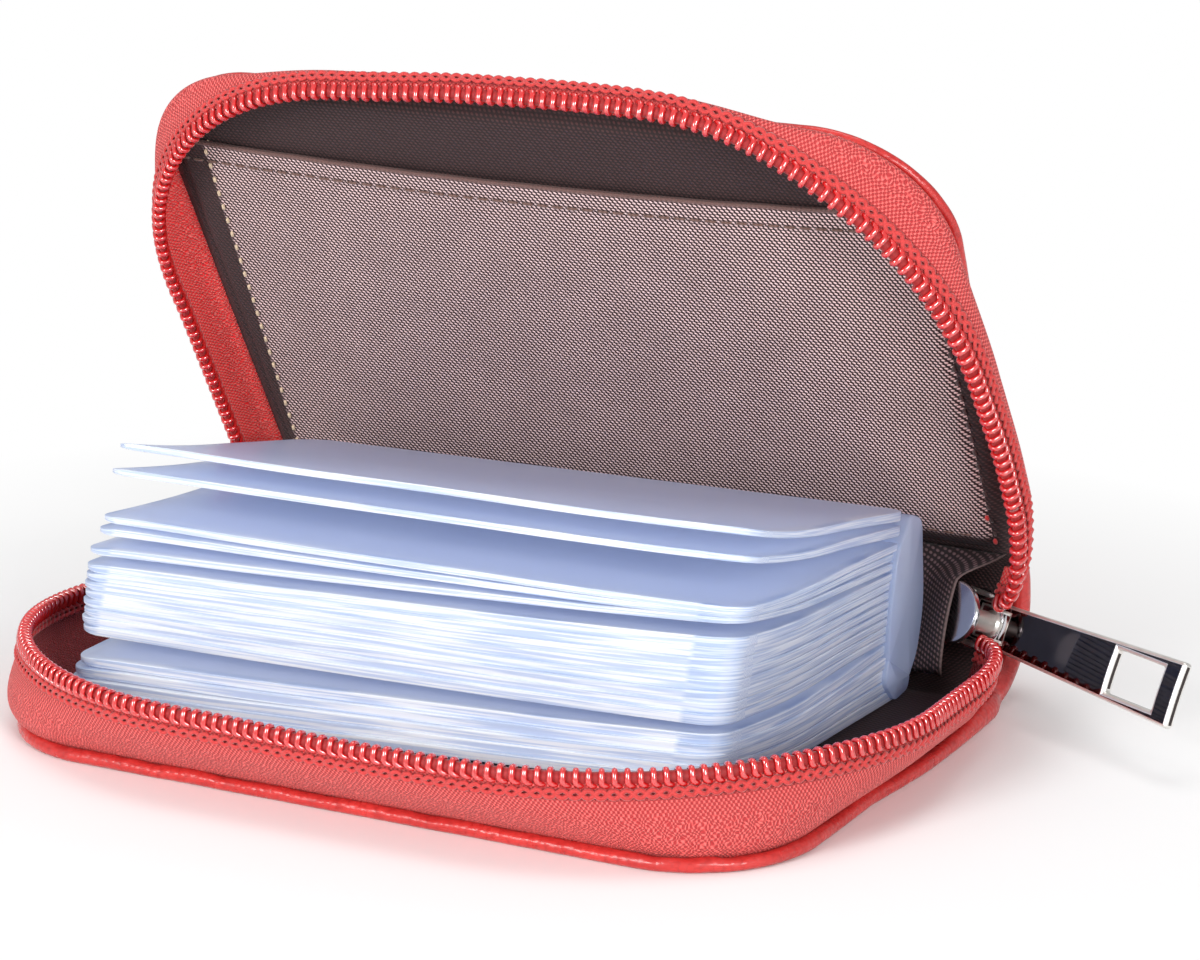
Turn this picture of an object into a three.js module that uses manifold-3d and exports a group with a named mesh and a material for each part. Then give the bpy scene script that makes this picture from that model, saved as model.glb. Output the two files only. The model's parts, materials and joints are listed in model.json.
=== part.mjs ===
// Zip-around card holder, standing open: two leather covers joined by a rounded spine, a nylon coil
// zip round three sides, a lined note pocket and a fan of clear card sleeves bound to the spine.
// Millimetres, +Z up, +X along the spine towards the zip's slider, +Y towards the spine.
// The origin is the middle of the lower cover's underside.

import * as THREE from "three";
import { mergeVertices } from "three/addons/utils/BufferGeometryUtils.js";
import Module from "manifold-3d";

const wasm = await Module();
wasm.setup();

const degrees = Math.PI / 180;

// Covers
const coverWidth = 110;
const coverDepth = 69;
const coverCorner = 16.5;
const leatherThickness = 1.5;
const leatherEdgeRound = 0.45;
const boardThickness = 0.5;
const boardInset = 0.6;
const liningThickness = 0.3;
const liningClearance = 0.9;
const layerGap = 0.3;
const foldMargin = 6;

// Spine, a rounded strip of leather that turns from one cover to the other
const spineRadius = 12.1;
const openAngle = 60.5 * degrees;
const foldGap = 0.4;

// Note pocket on the upper lining
const pocketSideMargin = 5;
const pocketTopMargin = 12.5;
const pocketThickness = 0.3;
const hemHeight = 4;
const hemThickness = 0.6;

// Zip: the tape's foot follows the cover's edge, and the coil runs in a rounder line above it
const tapeThickness = 0.8;
const tapeInset = 1.7;
const lowerCoil = { outset: 5.9, radius: 43, height: 11.2 };
const upperCoil = { outset: 3.2, radius: 37.6, height: 7.2 };
const coilPitch = 1.58;
const coilCrest = 1.1;
const coilRoot = 0.72;
const coilSides = 5;
const coilSeatGap = 0.3;
const zipFreeEnd = 5;
const zipSliderEnd = 16;
const zipSideSteps = 4;
const zipCornerSteps = 9;
const zipFrontSteps = 6;
const zipEndSteps = 8;
const stopLength = 2;
const stopWidth = 2.4;
const stopHeight = 3;

// Card sleeves, from the lowest to the highest: how many, and the slope of the first and the last
const sleeveSideMargin = 8.25;
const sleeveFrontMargin = 6.8;
const sleeveShift = -1.9;
const sleeveThickness = 0.3;
const sleeveFrontRound = 7.5;
const sleeveRearRound = 2;
const sleeveHeadroom = 3.62;
const closedGap = 0.35;
const sleeveFans = [
  { count: 5, first: -3.7, last: -4.2 },
  { count: 8, first: -0.9, last: 0.55 },
  { count: 3, first: 2, last: 5 },
  { count: 2, first: 11.4, last: 14.4 },
];

// Inside of the spine: a lining strip, the zip's sewn-in tail and the binding, a block of the sleeves'
// welded roots whose front slants out from its lower to its upper edge
const spineLiningSetback = 4.6;
const spineLiningThickness = 0.4;
const spineLiningLeftInset = 5;
const spineLiningRightInset = 8;
const bindingFrontLow = 8.2;
const bindingFrontHigh = 16.7;
const bindingOverhang = 0.25;
const bindingGap = 0.3;
const rootGap = 0.3;
const tailLength = 12;
const tailHeight = 13;
const tailThickness = 1;
const tailGap = 0.4;

// Slider and puller
const sliderEdgeInset = 5;
const sliderSetback = 2.74;
const sliderRise = 1.04;
const sliderTurn = 28 * degrees;
const sliderRoll = 22 * degrees;
const plateLength = 9.2;
const plateWidth = 8.1;
const plateThickness = 1;
const plateRound = 0.3;
const channelHeight = 2.4;
const railLength = 6;
const railWidth = 0.7;
const railHeight = 0.65;
const railInset = 1.1;
const railSink = 0.1;
const neckRadius = 1.4;
const neckAhead = 2.9;
const bridgeReach = 3.3;
const bridgeThickness = 1.1;
const bridgeWidth = 1.9;
const bridgeSink = 0.15;
const pullerLength = 37.8;
const pullerRootWidth = 5.4;
const pullerEndWidth = 8.2;
const pullerThickness = 1.4;
const pullerRound = 0.3;
const pullerBar = 1.4;
const windowLength = 4.9;
const windowWidth = 3.2;
const holeLength = 8.4;
const holeWidth = 5.4;
const holeFromEnd = 3.2;

// Worked out from the sizes above
const spineMiddleRadius = spineRadius - leatherThickness / 2;
const spineTurn = Math.PI - openAngle;
const spineLean = openAngle / 2;
const chordLength = 2 * spineMiddleRadius * Math.cos(spineLean);
const liningMargin = tapeInset + tapeThickness / 2 + liningClearance;
const boardMargin = liningMargin + boardInset;
const boardBase = leatherThickness + layerGap;
const liningBase = boardBase + boardThickness + layerGap;
const liningTop = liningBase + liningThickness;
const tapeRim = {
  outset: -tapeInset,
  radius: coverCorner - tapeInset,
  height: leatherThickness + layerGap + tapeThickness / 2,
};
const pocketWidth = coverWidth - 2 * pocketSideMargin;
const pocketHeight = coverDepth - pocketTopMargin;
const bindingSetback = spineLiningSetback + spineLiningThickness + bindingGap;
const sleeveWidth = coverWidth - 2 * sleeveSideMargin;
const sleeveTip = coverDepth - sleeveFrontMargin;
const sleeveSlopes = sleeveFans.flatMap(spreadFan);
const firstRoot = liningTop + closedGap + (sleeveThickness - leatherThickness) / 2;
const sleeveBlock = chordLength - firstRoot - sleeveHeadroom;
const sleevePitch = sleeveBlock / (sleeveSlopes.length - 1);
const bindingLow = firstRoot - bindingOverhang;
const bindingHigh = firstRoot + sleeveBlock + bindingOverhang;
const plateOuter = channelHeight / 2 + plateThickness;
const bridgeOpening = bridgeReach - bridgeThickness;
const pullerPivot = plateOuter + bridgeOpening / 2;

// Slopes of one fan of sleeves, in radians, in equal steps from its first to its last
function spreadFan({ count, first, last }) {
  const step = (last - first) / (count - 1);
  return Array.from({ length: count }, (_, index) => (first + index * step) * degrees);
}

const leather = { color: 0xc9322c, roughness: 0.42, metalness: 0 };
const board = { color: 0xb9a98c, roughness: 0.9, metalness: 0 };
const lining = { color: 0x5f4c49, roughness: 0.7, metalness: 0 };
const tape = { color: 0xcf4446, roughness: 0.85, metalness: 0 };
const nylon = { color: 0xd8302c, roughness: 0.3, metalness: 0 };
const film = { color: 0xd3dcec, roughness: 0.25, metalness: 0, transparent: true, opacity: 0.5 };
const nickel = { color: 0xc9c8c2, roughness: 0.12, metalness: 1 };

function piece(name, geometry, finish) {
  const mesh = new THREE.Mesh(geometry, new THREE.MeshStandardMaterial(finish));
  mesh.name = name;
  return mesh;
}

function solidOf(geometry) {
  const bare = geometry.clone();
  bare.deleteAttribute("normal");
  bare.deleteAttribute("uv");
  const merged = mergeVertices(bare);
  return new wasm.Manifold(
    new wasm.Mesh({
      numProp: 3,
      vertProperties: merged.attributes.position.array,
      triVerts: new Uint32Array(merged.index.array),
    }),
  );
}

function joined(geometries) {
  const mesh = geometries.map(solidOf).reduce((whole, next) => whole.add(next)).getMesh();
  const geometry = new THREE.BufferGeometry();
  geometry.setAttribute("position", new THREE.BufferAttribute(mesh.vertProperties, 3));
  geometry.setIndex(new THREE.BufferAttribute(mesh.triVerts, 1));
  geometry.computeVertexNormals();
  return geometry;
}

// A closed skin over a row of rings; each ring runs counter-clockwise about the way the row goes
function skin(rings) {
  const sides = rings[0].length;
  const positions = rings.flat().flatMap((point) => point.toArray());
  const faces = [];
  for (let ring = 0; ring + 1 < rings.length; ring++) {
    for (let side = 0; side < sides; side++) {
      const a = ring * sides + side;
      const b = ring * sides + ((side + 1) % sides);
      faces.push(a, b, b + sides, a, b + sides, a + sides);
    }
  }
  const last = (rings.length - 1) * sides;
  for (let side = 1; side + 1 < sides; side++) {
    faces.push(0, side + 1, side, last, last + side, last + side + 1);
  }
  const geometry = new THREE.BufferGeometry();
  geometry.setAttribute("position", new THREE.Float32BufferAttribute(positions, 3));
  geometry.setIndex(faces);
  geometry.computeVertexNormals();
  return geometry;
}

function directionAt(points, index) {
  const before = points[Math.max(index - 1, 0)];
  const after = points[Math.min(index + 1, points.length - 1)];
  return after.clone().sub(before).normalize();
}

// A band of even thickness between a foot line and a top line that have the same number of points
function ribbon(foot, top, thickness) {
  const rings = foot.map((low, index) => {
    const high = top[index];
    const rise = high.clone().sub(low);
    const half = rise.clone().cross(directionAt(foot, index)).setLength(thickness / 2);
    const footEdge = [low.clone().sub(half), low.clone().add(half)];
    return [...footEdge, high.clone().add(half), high.clone().sub(half)];
  });
  return skin(rings);
}

// The tape's upper edge, just short of the coil, square to it on the side of the tape's foot
function tapeHead(foot, coilLine) {
  return foot.map((low, index) => {
    const centre = coilLine[index];
    const along = directionAt(coilLine, index);
    const drop = low.clone().sub(centre);
    drop.addScaledVector(along, -drop.dot(along)).setLength(coilCrest + coilSeatGap);
    return drop.add(centre);
  });
}

// The coil's loops as a toothed row: rings swell to the crest and shrink to the root along the line
function toothedRow(points) {
  const line = new THREE.CatmullRomCurve3(points);
  const teeth = Math.round(line.getLength() / coilPitch);
  const centres = line.getSpacedPoints(2 * teeth);
  const up = new THREE.Vector3(0, 0, 1);
  const across = up.clone().cross(directionAt(centres, 0));
  const rings = centres.map((centre, index) => {
    const along = directionAt(centres, index);
    across.addScaledVector(along, -across.dot(along)).normalize();
    const rise = along.clone().cross(across);
    const radius = index % 2 ? coilCrest : coilRoot;
    return Array.from({ length: coilSides }, (_, side) => {
      const angle = (2 * Math.PI * side) / coilSides;
      return centre
        .clone()
        .addScaledVector(across, radius * Math.cos(angle))
        .addScaledVector(rise, radius * Math.sin(angle));
    });
  });
  return skin(rings);
}

// A line round the cover's free edges, from the zip's free end to its slider end.
// In a cover's own frame X runs along the fold, Y away from it and Z into the holder.
function rimLine(rim, freeEnd, sliderEnd, sliderSide) {
  const half = coverWidth / 2 + rim.outset;
  const front = coverDepth + rim.outset;
  const radius = rim.radius;
  const turn = front - radius;
  const spot = (x, y) => new THREE.Vector2(x, y);
  const corner = (x, from, to) => new THREE.EllipseCurve(x, turn, radius, radius, from, to, true);
  const stretches = [
    [new THREE.LineCurve(spot(-half, freeEnd), spot(-half, turn)), zipSideSteps],
    [corner(-half + radius, Math.PI, Math.PI / 2), zipCornerSteps],
    [new THREE.LineCurve(spot(-half + radius, front), spot(half - radius, front)), zipFrontSteps],
    [corner(half - radius, Math.PI / 2, 0), zipCornerSteps],
    [new THREE.LineCurve(spot(half, turn), spot(half, sliderEnd)), zipSideSteps],
  ];
  const flat = stretches.flatMap(([curve, steps], index) => {
    return curve.getPoints(steps).slice(index ? 1 : 0);
  });
  return flat.map((point) => new THREE.Vector3(sliderSide * point.x, point.y, rim.height));
}

// A sheet with the cover's outline, drawn in from its free edges and from the fold
function coverSheet(margin, foldSide) {
  const half = coverWidth / 2 - margin;
  const front = coverDepth - margin;
  const radius = coverCorner - margin;
  const shape = new THREE.Shape();
  shape.moveTo(-half, foldSide);
  shape.lineTo(half, foldSide);
  shape.absarc(half - radius, front - radius, radius, 0, Math.PI / 2);
  shape.absarc(-half + radius, front - radius, radius, Math.PI / 2, Math.PI);
  return shape;
}

// Turns a section drawn in Y and Z, extruded, so that its length runs along X
const alongFold = new THREE.Matrix4().makeBasis(
  new THREE.Vector3(0, 1, 0),
  new THREE.Vector3(0, 0, 1),
  new THREE.Vector3(1, 0, 0),
);

function plainExtrusion(shape, depth, curveSegments) {
  return new THREE.ExtrudeGeometry(shape, { depth, bevelEnabled: false, curveSegments });
}

function flatSheet(shape, base, thickness) {
  return plainExtrusion(shape, thickness, 4).translate(0, 0, base);
}

// A slab with its edges rounded over, standing on its base
function roundedSlab(shape, thickness, round, curveSegments) {
  const slab = new THREE.ExtrudeGeometry(shape, {
    depth: thickness - 2 * round,
    bevelThickness: round,
    bevelSize: round,
    bevelOffset: -round,
    bevelSegments: 2,
    curveSegments,
  });
  return slab.translate(0, 0, round);
}

// What both covers have: leather, stiffening board, lining, zip tape, coil and the coil's end stop
function coverLayers(cover, coil, sliderSide) {
  const outer = roundedSlab(coverSheet(0, foldGap), leatherThickness, leatherEdgeRound, 6);
  const stiffener = flatSheet(coverSheet(boardMargin, foldMargin), boardBase, boardThickness);
  const inner = flatSheet(coverSheet(liningMargin, foldMargin), liningBase, liningThickness);
  const footLine = rimLine(tapeRim, zipFreeEnd, zipSliderEnd, sliderSide);
  const headLine = tapeHead(footLine, rimLine(coil, zipFreeEnd, zipSliderEnd, sliderSide));
  const coilStart = zipFreeEnd + stopLength + coilSeatGap;
  const coilLine = rimLine(coil, coilStart, zipSliderEnd, sliderSide);
  const stopShape = new THREE.BoxGeometry(stopWidth, stopLength, stopHeight);
  const stopX = -sliderSide * (coverWidth / 2 + coil.outset);
  stopShape.translate(stopX, zipFreeEnd + stopLength / 2, coil.height - coilRoot + stopHeight / 2);
  return [
    piece(`${cover}_leather`, outer, leather),
    piece(`${cover}_board`, stiffener, board),
    piece(`${cover}_lining`, inner, lining),
    piece(`${cover}_zip_tape`, ribbon(footLine, headLine, tapeThickness), tape),
    piece(`${cover}_zip_coil`, toothedRow(coilLine), nylon),
    piece(`${cover}_zip_stop`, stopShape, nickel),
  ];
}

// The pocket's section runs up the lining and doubles back on itself at the hem
function notePocket() {
  const base = liningTop + layerGap;
  const section = new THREE.Shape();
  section.moveTo(foldMargin, base);
  section.lineTo(pocketHeight, base);
  section.lineTo(pocketHeight, base + hemThickness);
  section.lineTo(pocketHeight - hemHeight, base + hemThickness);
  section.lineTo(pocketHeight - hemHeight, base + pocketThickness);
  section.lineTo(foldMargin, base + pocketThickness);
  const panel = plainExtrusion(section, pocketWidth, 1);
  return panel.applyMatrix4(alongFold).translate(-pocketWidth / 2, 0, 0);
}

// The leather strip of the spine: an arc that leaves the lower cover level and meets the upper one
function spineLeather() {
  const start = foldGap / spineRadius - Math.PI / 2;
  const end = spineTurn - foldGap / spineRadius - Math.PI / 2;
  const section = new THREE.Shape();
  section.absarc(0, 0, spineRadius, start, end);
  section.absarc(0, 0, spineRadius - leatherThickness, end, start, true);
  const strip = plainExtrusion(section, coverWidth, 10);
  return strip.applyMatrix4(alongFold).translate(-coverWidth / 2, coverDepth / 2, spineRadius);
}

// A strip that stands along the spine, its near face set forward of the line between the folds
function spineStrip(left, right, setback, thickness, height, middle) {
  const strip = new THREE.BoxGeometry(right - left, thickness, height);
  return strip.translate((left + right) / 2, -setback - thickness / 2, middle);
}

// How far the binding's front face stands forward at a height along the spine
function bindingFront(along) {
  const share = (along - bindingLow) / (bindingHigh - bindingLow);
  return bindingFrontLow + share * (bindingFrontHigh - bindingFrontLow);
}

function bindingBlock() {
  const section = new THREE.Shape();
  section.moveTo(-bindingSetback, bindingLow);
  section.lineTo(-bindingSetback, bindingHigh);
  section.lineTo(-bindingFrontHigh, bindingHigh);
  section.lineTo(-bindingFrontLow, bindingLow);
  const block = plainExtrusion(section, sleeveWidth, 1);
  return block.applyMatrix4(alongFold).translate(sleeveShift - sleeveWidth / 2, 0, 0);
}

// A card's sleeve, its rear edge along X and its rounded front corners towards the zip
function sleeveSheet(depth) {
  const rearX = sleeveWidth / 2 - sleeveRearRound;
  const frontX = sleeveWidth / 2 - sleeveFrontRound;
  const frontY = sleeveFrontRound - depth;
  const quarter = Math.PI / 2;
  const shape = new THREE.Shape();
  shape.absarc(rearX, -sleeveRearRound, sleeveRearRound, 0, quarter);
  shape.absarc(-rearX, -sleeveRearRound, sleeveRearRound, quarter, 2 * quarter);
  shape.absarc(-frontX, frontY, sleeveFrontRound, 2 * quarter, 3 * quarter);
  shape.absarc(frontX, frontY, sleeveFrontRound, 3 * quarter, 4 * quarter);
  return plainExtrusion(shape, sleeveThickness, 2).translate(sleeveShift, 0, -sleeveThickness / 2);
}

// The slider's own frame: X towards the mouth, Y outwards through its plates, Z across the zip
function sliderPlate(base) {
  const shape = new THREE.Shape();
  shape.absellipse(0, 0, plateLength / 2, plateWidth / 2, 0, 2 * Math.PI);
  const plate = roundedSlab(shape, plateThickness, plateRound, 10);
  return plate.rotateX(Math.PI / 2).translate(0, base + plateThickness, 0);
}

function sliderRail(face, side) {
  const rail = new THREE.BoxGeometry(railLength, railHeight + railSink, railWidth);
  const out = channelHeight / 2 - (railHeight - railSink) / 2;
  return rail.translate(0, face * out, side * (plateWidth / 2 - railInset));
}

function sliderBridge() {
  const arch = new THREE.Shape();
  arch.absarc(0, 0, bridgeReach, 0, Math.PI);
  arch.absarc(0, 0, bridgeOpening, Math.PI, 0, true);
  return plainExtrusion(arch, bridgeWidth, 6).translate(0, plateOuter - bridgeSink, -bridgeWidth / 2);
}

function sliderBody() {
  const neck = new THREE.CylinderGeometry(neckRadius, neckRadius, channelHeight + plateThickness, 12);
  const rails = [1, -1].flatMap((face) => [1, -1].map((side) => sliderRail(face, side)));
  const plates = [sliderPlate(channelHeight / 2), sliderPlate(-plateOuter)];
  return joined([...plates, ...rails, neck.translate(neckAhead, 0, 0), sliderBridge()]);
}

// A tapered bar pierced by the window that hooks under the bridge and by a square finger hole
function pullerBody() {
  const start = -pullerBar / 2;
  const end = start + pullerLength;
  const outline = new THREE.Shape();
  outline.moveTo(start, -pullerRootWidth / 2);
  outline.lineTo(end, -pullerEndWidth / 2);
  outline.lineTo(end, pullerEndWidth / 2);
  outline.lineTo(start, pullerRootWidth / 2);
  const opening = (from, length, width) => {
    const hole = new THREE.Path();
    hole.moveTo(from, -width / 2);
    hole.lineTo(from, width / 2);
    hole.lineTo(from + length, width / 2);
    hole.lineTo(from + length, -width / 2);
    return hole;
  };
  outline.holes.push(opening(pullerBar / 2, windowLength, windowWidth));
  outline.holes.push(opening(end - holeFromEnd - holeLength, holeLength, holeWidth));
  const bar = roundedSlab(outline, pullerThickness, pullerRound, 1);
  return bar.rotateX(Math.PI / 2).translate(0, pullerThickness / 2, 0);
}

// A smooth line from the end of a cover's rim into the slider's mouth
function leadIn(from, heading, mouth, exit, reach) {
  const start = from.clone().addScaledVector(heading, coilSeatGap);
  const out = start.clone().addScaledVector(heading, reach);
  const back = mouth.clone().addScaledVector(exit, reach);
  return new THREE.CubicBezierCurve3(start, out, back, mouth).getPoints(zipEndSteps);
}

// The last stretch of tape and coil between a cover and the slider, bending as the holder opens
function zipEnd(cover, group, coil, sliderSide, half, slider) {
  const lastOf = (rim) => {
    return rimLine(rim, zipFreeEnd, zipSliderEnd, sliderSide).at(-1).applyMatrix4(group.matrix);
  };
  const heading = new THREE.Vector3(0, -1, 0).transformDirection(group.matrix);
  const exit = new THREE.Vector3(1, 0, 0).transformDirection(slider.matrix);
  const mouthX = plateLength / 2 + tailGap;
  const mouthAt = (across) => new THREE.Vector3(mouthX, 0, half * across).applyMatrix4(slider.matrix);
  const reach = zipSliderEnd / 3;
  const lead = (rim, across) => leadIn(lastOf(rim), heading, mouthAt(across), exit, reach);
  const coilLine = lead(coil, coilCrest + coilSeatGap);
  const footLine = lead(tapeRim, tailHeight / 2);
  return [
    piece(`${cover}_tape_end`, ribbon(footLine, tapeHead(footLine, coilLine), tapeThickness), tape),
    piece(`${cover}_coil_end`, toothedRow(coilLine), nylon),
  ];
}

const holder = new THREE.Group();

const lowerCover = new THREE.Group();
lowerCover.position.set(0, coverDepth / 2, 0);
lowerCover.rotation.z = Math.PI;
lowerCover.updateMatrix();
lowerCover.add(...coverLayers("lower", lowerCoil, -1));

const upperCover = new THREE.Group();
const upperFoldY = coverDepth / 2 + spineRadius * Math.sin(spineTurn);
const upperFoldZ = spineRadius * (1 - Math.cos(spineTurn));
upperCover.position.set(0, upperFoldY, upperFoldZ);
upperCover.rotation.x = spineTurn;
upperCover.updateMatrix();
upperCover.add(...coverLayers("upper", upperCoil, 1));
upperCover.add(piece("note_pocket", notePocket(), lining));

// The spine's frame stands on the lower fold, Z along the line between the two folds
const spine = new THREE.Group();
spine.position.set(0, coverDepth / 2, leatherThickness / 2);
spine.rotation.x = -spineLean;
spine.updateMatrix();

const sliderX = coverWidth / 2 - sliderEdgeInset;
const tailRight = sliderX - (plateLength / 2) * Math.cos(sliderTurn) - tailGap;
const tailLeft = tailRight - tailLength;
const liningStrip = spineStrip(
  spineLiningLeftInset - coverWidth / 2,
  coverWidth / 2 - spineLiningRightInset,
  spineLiningSetback,
  spineLiningThickness,
  chordLength - 2 * liningTop,
  chordLength / 2,
);
const tailStrip = spineStrip(tailLeft, tailRight, 0, tailThickness, tailHeight, chordLength / 2);
spine.add(piece("spine_lining", liningStrip, lining));
spine.add(piece("sleeve_binding", bindingBlock(), film));
spine.add(piece("zip_tail", tailStrip, tape));

sleeveSlopes.forEach((slope, index) => {
  const sleeve = new THREE.Group();
  const root = firstRoot + index * sleevePitch;
  const setback = bindingFront(root) + rootGap;
  sleeve.position.set(0, -setback, root);
  sleeve.rotation.x = spineLean - slope;
  const number = String(index + 1).padStart(2, "0");
  sleeve.add(piece(`sleeve_${number}`, sleeveSheet(sleeveTip - setback), film));
  spine.add(sleeve);
});

const slider = new THREE.Group();
slider.position.set(sliderX, -sliderSetback, chordLength / 2 + sliderRise).applyMatrix4(spine.matrix);
slider.rotation.set(-sliderRoll, 0, -sliderTurn, "ZYX");
slider.updateMatrix();
slider.add(piece("slider", sliderBody(), nickel));
const puller = piece("puller", pullerBody(), nickel);
puller.position.y = pullerPivot;
slider.add(puller);

holder.add(lowerCover);
holder.add(upperCover);
holder.add(spine);
holder.add(piece("spine_leather", spineLeather(), leather));
holder.add(slider);
holder.add(...zipEnd("lower", lowerCover, lowerCoil, -1, -1, slider));
holder.add(...zipEnd("upper", upperCover, upperCoil, 1, 1, slider));

export default holder;
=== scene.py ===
"""A zip-around card holder in red leather, open on its lower cover. Sizes are in millimetres unless said."""

import json

import bmesh
import bpy
import numpy as np
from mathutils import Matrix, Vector


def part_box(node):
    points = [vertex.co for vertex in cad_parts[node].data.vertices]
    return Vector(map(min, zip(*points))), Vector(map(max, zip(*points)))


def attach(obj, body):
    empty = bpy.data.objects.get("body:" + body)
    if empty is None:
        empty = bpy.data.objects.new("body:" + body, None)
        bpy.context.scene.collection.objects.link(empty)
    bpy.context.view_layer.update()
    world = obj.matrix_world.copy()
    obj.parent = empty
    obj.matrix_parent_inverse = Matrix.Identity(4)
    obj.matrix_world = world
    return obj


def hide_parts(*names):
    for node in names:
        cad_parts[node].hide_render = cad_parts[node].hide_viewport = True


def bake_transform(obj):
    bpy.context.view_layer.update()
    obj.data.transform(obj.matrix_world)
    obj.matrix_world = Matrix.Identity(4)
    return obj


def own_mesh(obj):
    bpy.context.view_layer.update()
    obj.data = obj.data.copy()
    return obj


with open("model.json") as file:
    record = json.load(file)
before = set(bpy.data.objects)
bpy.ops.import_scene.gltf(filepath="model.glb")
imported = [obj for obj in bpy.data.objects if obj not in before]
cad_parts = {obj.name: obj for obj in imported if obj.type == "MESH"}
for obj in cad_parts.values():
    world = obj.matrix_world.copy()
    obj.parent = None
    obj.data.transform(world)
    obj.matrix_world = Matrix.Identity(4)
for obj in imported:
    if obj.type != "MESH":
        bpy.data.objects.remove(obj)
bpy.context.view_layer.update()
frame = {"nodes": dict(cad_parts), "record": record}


# The set: a long lens in front and to the right, a little above the holder, over a pale floor
# that turns to plain white away from it, under broad soft lamps.
scene = bpy.context.scene
scene.view_settings.view_transform = "Standard"
camera = bpy.data.objects.new("camera", bpy.data.cameras.new("camera"))
camera.data.lens = 120.42
camera.data.clip_start = 0.01
view_turn, view_rise, view_distance = np.radians(27.66), np.radians(15.65), 0.46528
view_aim = np.array([0.02534, -0.01623, 0.03953])
view_back = np.array([
    np.sin(view_turn) * np.cos(view_rise),
    -np.cos(view_turn) * np.cos(view_rise),
    np.sin(view_rise),
])
camera.location = view_aim + view_distance * view_back
camera.rotation_euler = (np.pi / 2 - view_rise, 0, view_turn)
scene.collection.objects.link(camera)
scene.camera = camera

# Square lamps turned towards the holder: place and size in metres, power in watts.
for name, place, size, watts in (
    ("lamp_front", (-0.3, -1.05, 0.45), 0.4, 8.6),
    ("lamp_right", (0.95, -0.75, 0.42), 0.35, 8.8),
    ("lamp_top", (-0.1, 0.1, 1.2), 0.6, 3.0),
):
    lamp = bpy.data.objects.new(name, bpy.data.lights.new(name, "AREA"))
    lamp.data.size = size
    lamp.data.energy = watts
    lamp.location = place
    lamp.rotation_euler = (Vector(view_aim) - lamp.location).to_track_quat("-Z", "Y").to_euler()
    scene.collection.objects.link(lamp)


def shade(red, green, blue):
    """The linear colour of an 8-bit one."""
    part = np.array([red, green, blue]) / 255
    line = np.where(part <= 0.04045, part / 12.92, ((part + 0.055) / 1.055) ** 2.4)
    return (*line.tolist(), 1.0)


class Wiring:
    """A tree of shader nodes, wired up node by node."""

    def __init__(self, tree):
        self.nodes, self.links = tree.nodes, tree.links

    def give(self, node, sockets):
        """Sets a node's inputs, by name or number, to values or to other nodes' outputs."""
        for key, value in sockets.items():
            if isinstance(value, bpy.types.NodeSocket):
                self.links.new(value, node.inputs[key])
            else:
                node.inputs[key].default_value = value

    def add(self, kind, sockets, out=0, **settings):
        """A new node with its inputs and settings, as one of its outputs."""
        node = self.nodes.new("ShaderNode" + kind)
        for key, value in settings.items():
            setattr(node, key, value)
        self.give(node, sockets)
        return node.outputs[out]

    def maths(self, operation, a, b=0.0):
        """One operation on two numbers."""
        return self.add("Math", {0: a, 1: b}, operation=operation)

    def times(self, a, b):
        """The product of two numbers."""
        return self.maths("MULTIPLY", a, b)

    def most(self, a, b):
        """The larger of two numbers."""
        return self.maths("MAXIMUM", a, b)

    def grade(self, value, low, high, to_low=0.0, to_high=1.0):
        """Maps low..high to to_low..to_high, held at both ends."""
        return self.add("MapRange", {0: value, 1: low, 2: high, 3: to_low, 4: to_high})

    def mix(self, share, a, b):
        """A colour that goes from a to b as the share goes from 0 to 1."""
        return self.add("Mix", {0: share, 6: a, 7: b}, out=2, data_type="RGBA")

    def parts(self, vector):
        """The three coordinates of a vector."""
        return self.add("SeparateXYZ", {0: vector}).node.outputs

    def seen(self):
        """1 for rays from the camera, also through clear things, and 0 for all others."""
        rays = self.nodes.new("ShaderNodeLightPath").outputs
        return self.most(rays["Is Camera Ray"], rays["Is Transmission Ray"])


class Finish(Wiring):
    """A material with one Principled shader."""

    def __init__(self, name, **sockets):
        self.material = bpy.data.materials.new(name)
        self.material.use_nodes = True
        super().__init__(self.material.node_tree)
        self.shader = self.nodes["Principled BSDF"]
        self.set(**sockets)

    def set(self, **sockets):
        """Sets the shader's inputs, named with _ for spaces."""
        self.give(self.shader, {key.replace("_", " "): value for key, value in sockets.items()})

    def overlay(self, share, shader):
        """Mixes a share of another shader over what the surface has so far."""
        surface_socket = self.nodes["Material Output"].inputs["Surface"]
        below = surface_socket.links[0].from_socket
        self.links.new(self.add("MixShader", {0: share, 1: below, 2: shader}), surface_socket)

    def place(self):
        """Object coordinates, in metres."""
        return self.add("TexCoord", {}, out=3)

    def flat(self):
        """The piece's own flat coordinates, in metres."""
        return self.add("UVMap", {}, uv_map="flat")

    def noise(self, pitch, detail=2.0, vector=None):
        """Soft noise whose lumps are about pitch apart."""
        sockets = {"Vector": vector or self.place(), "Scale": 1000 / pitch, "Detail": detail}
        return self.add("TexNoise", sockets)

    def relief(self, height, depth, strength=1.0):
        """Bumps of a depth in millimetres from a height of 0 to 1."""
        sockets = {"Height": height, "Distance": depth / 1000, "Strength": strength}
        self.set(Normal=self.add("Bump", sockets))


def points_of(*parts):
    """Coordinates, broadcast against each other, as one array of points."""
    return np.stack(np.broadcast_arrays(*parts), axis=-1)


def full_turn(sides):
    """Even angles once round."""
    return np.linspace(0, 2 * np.pi, sides, endpoint=False)


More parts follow.
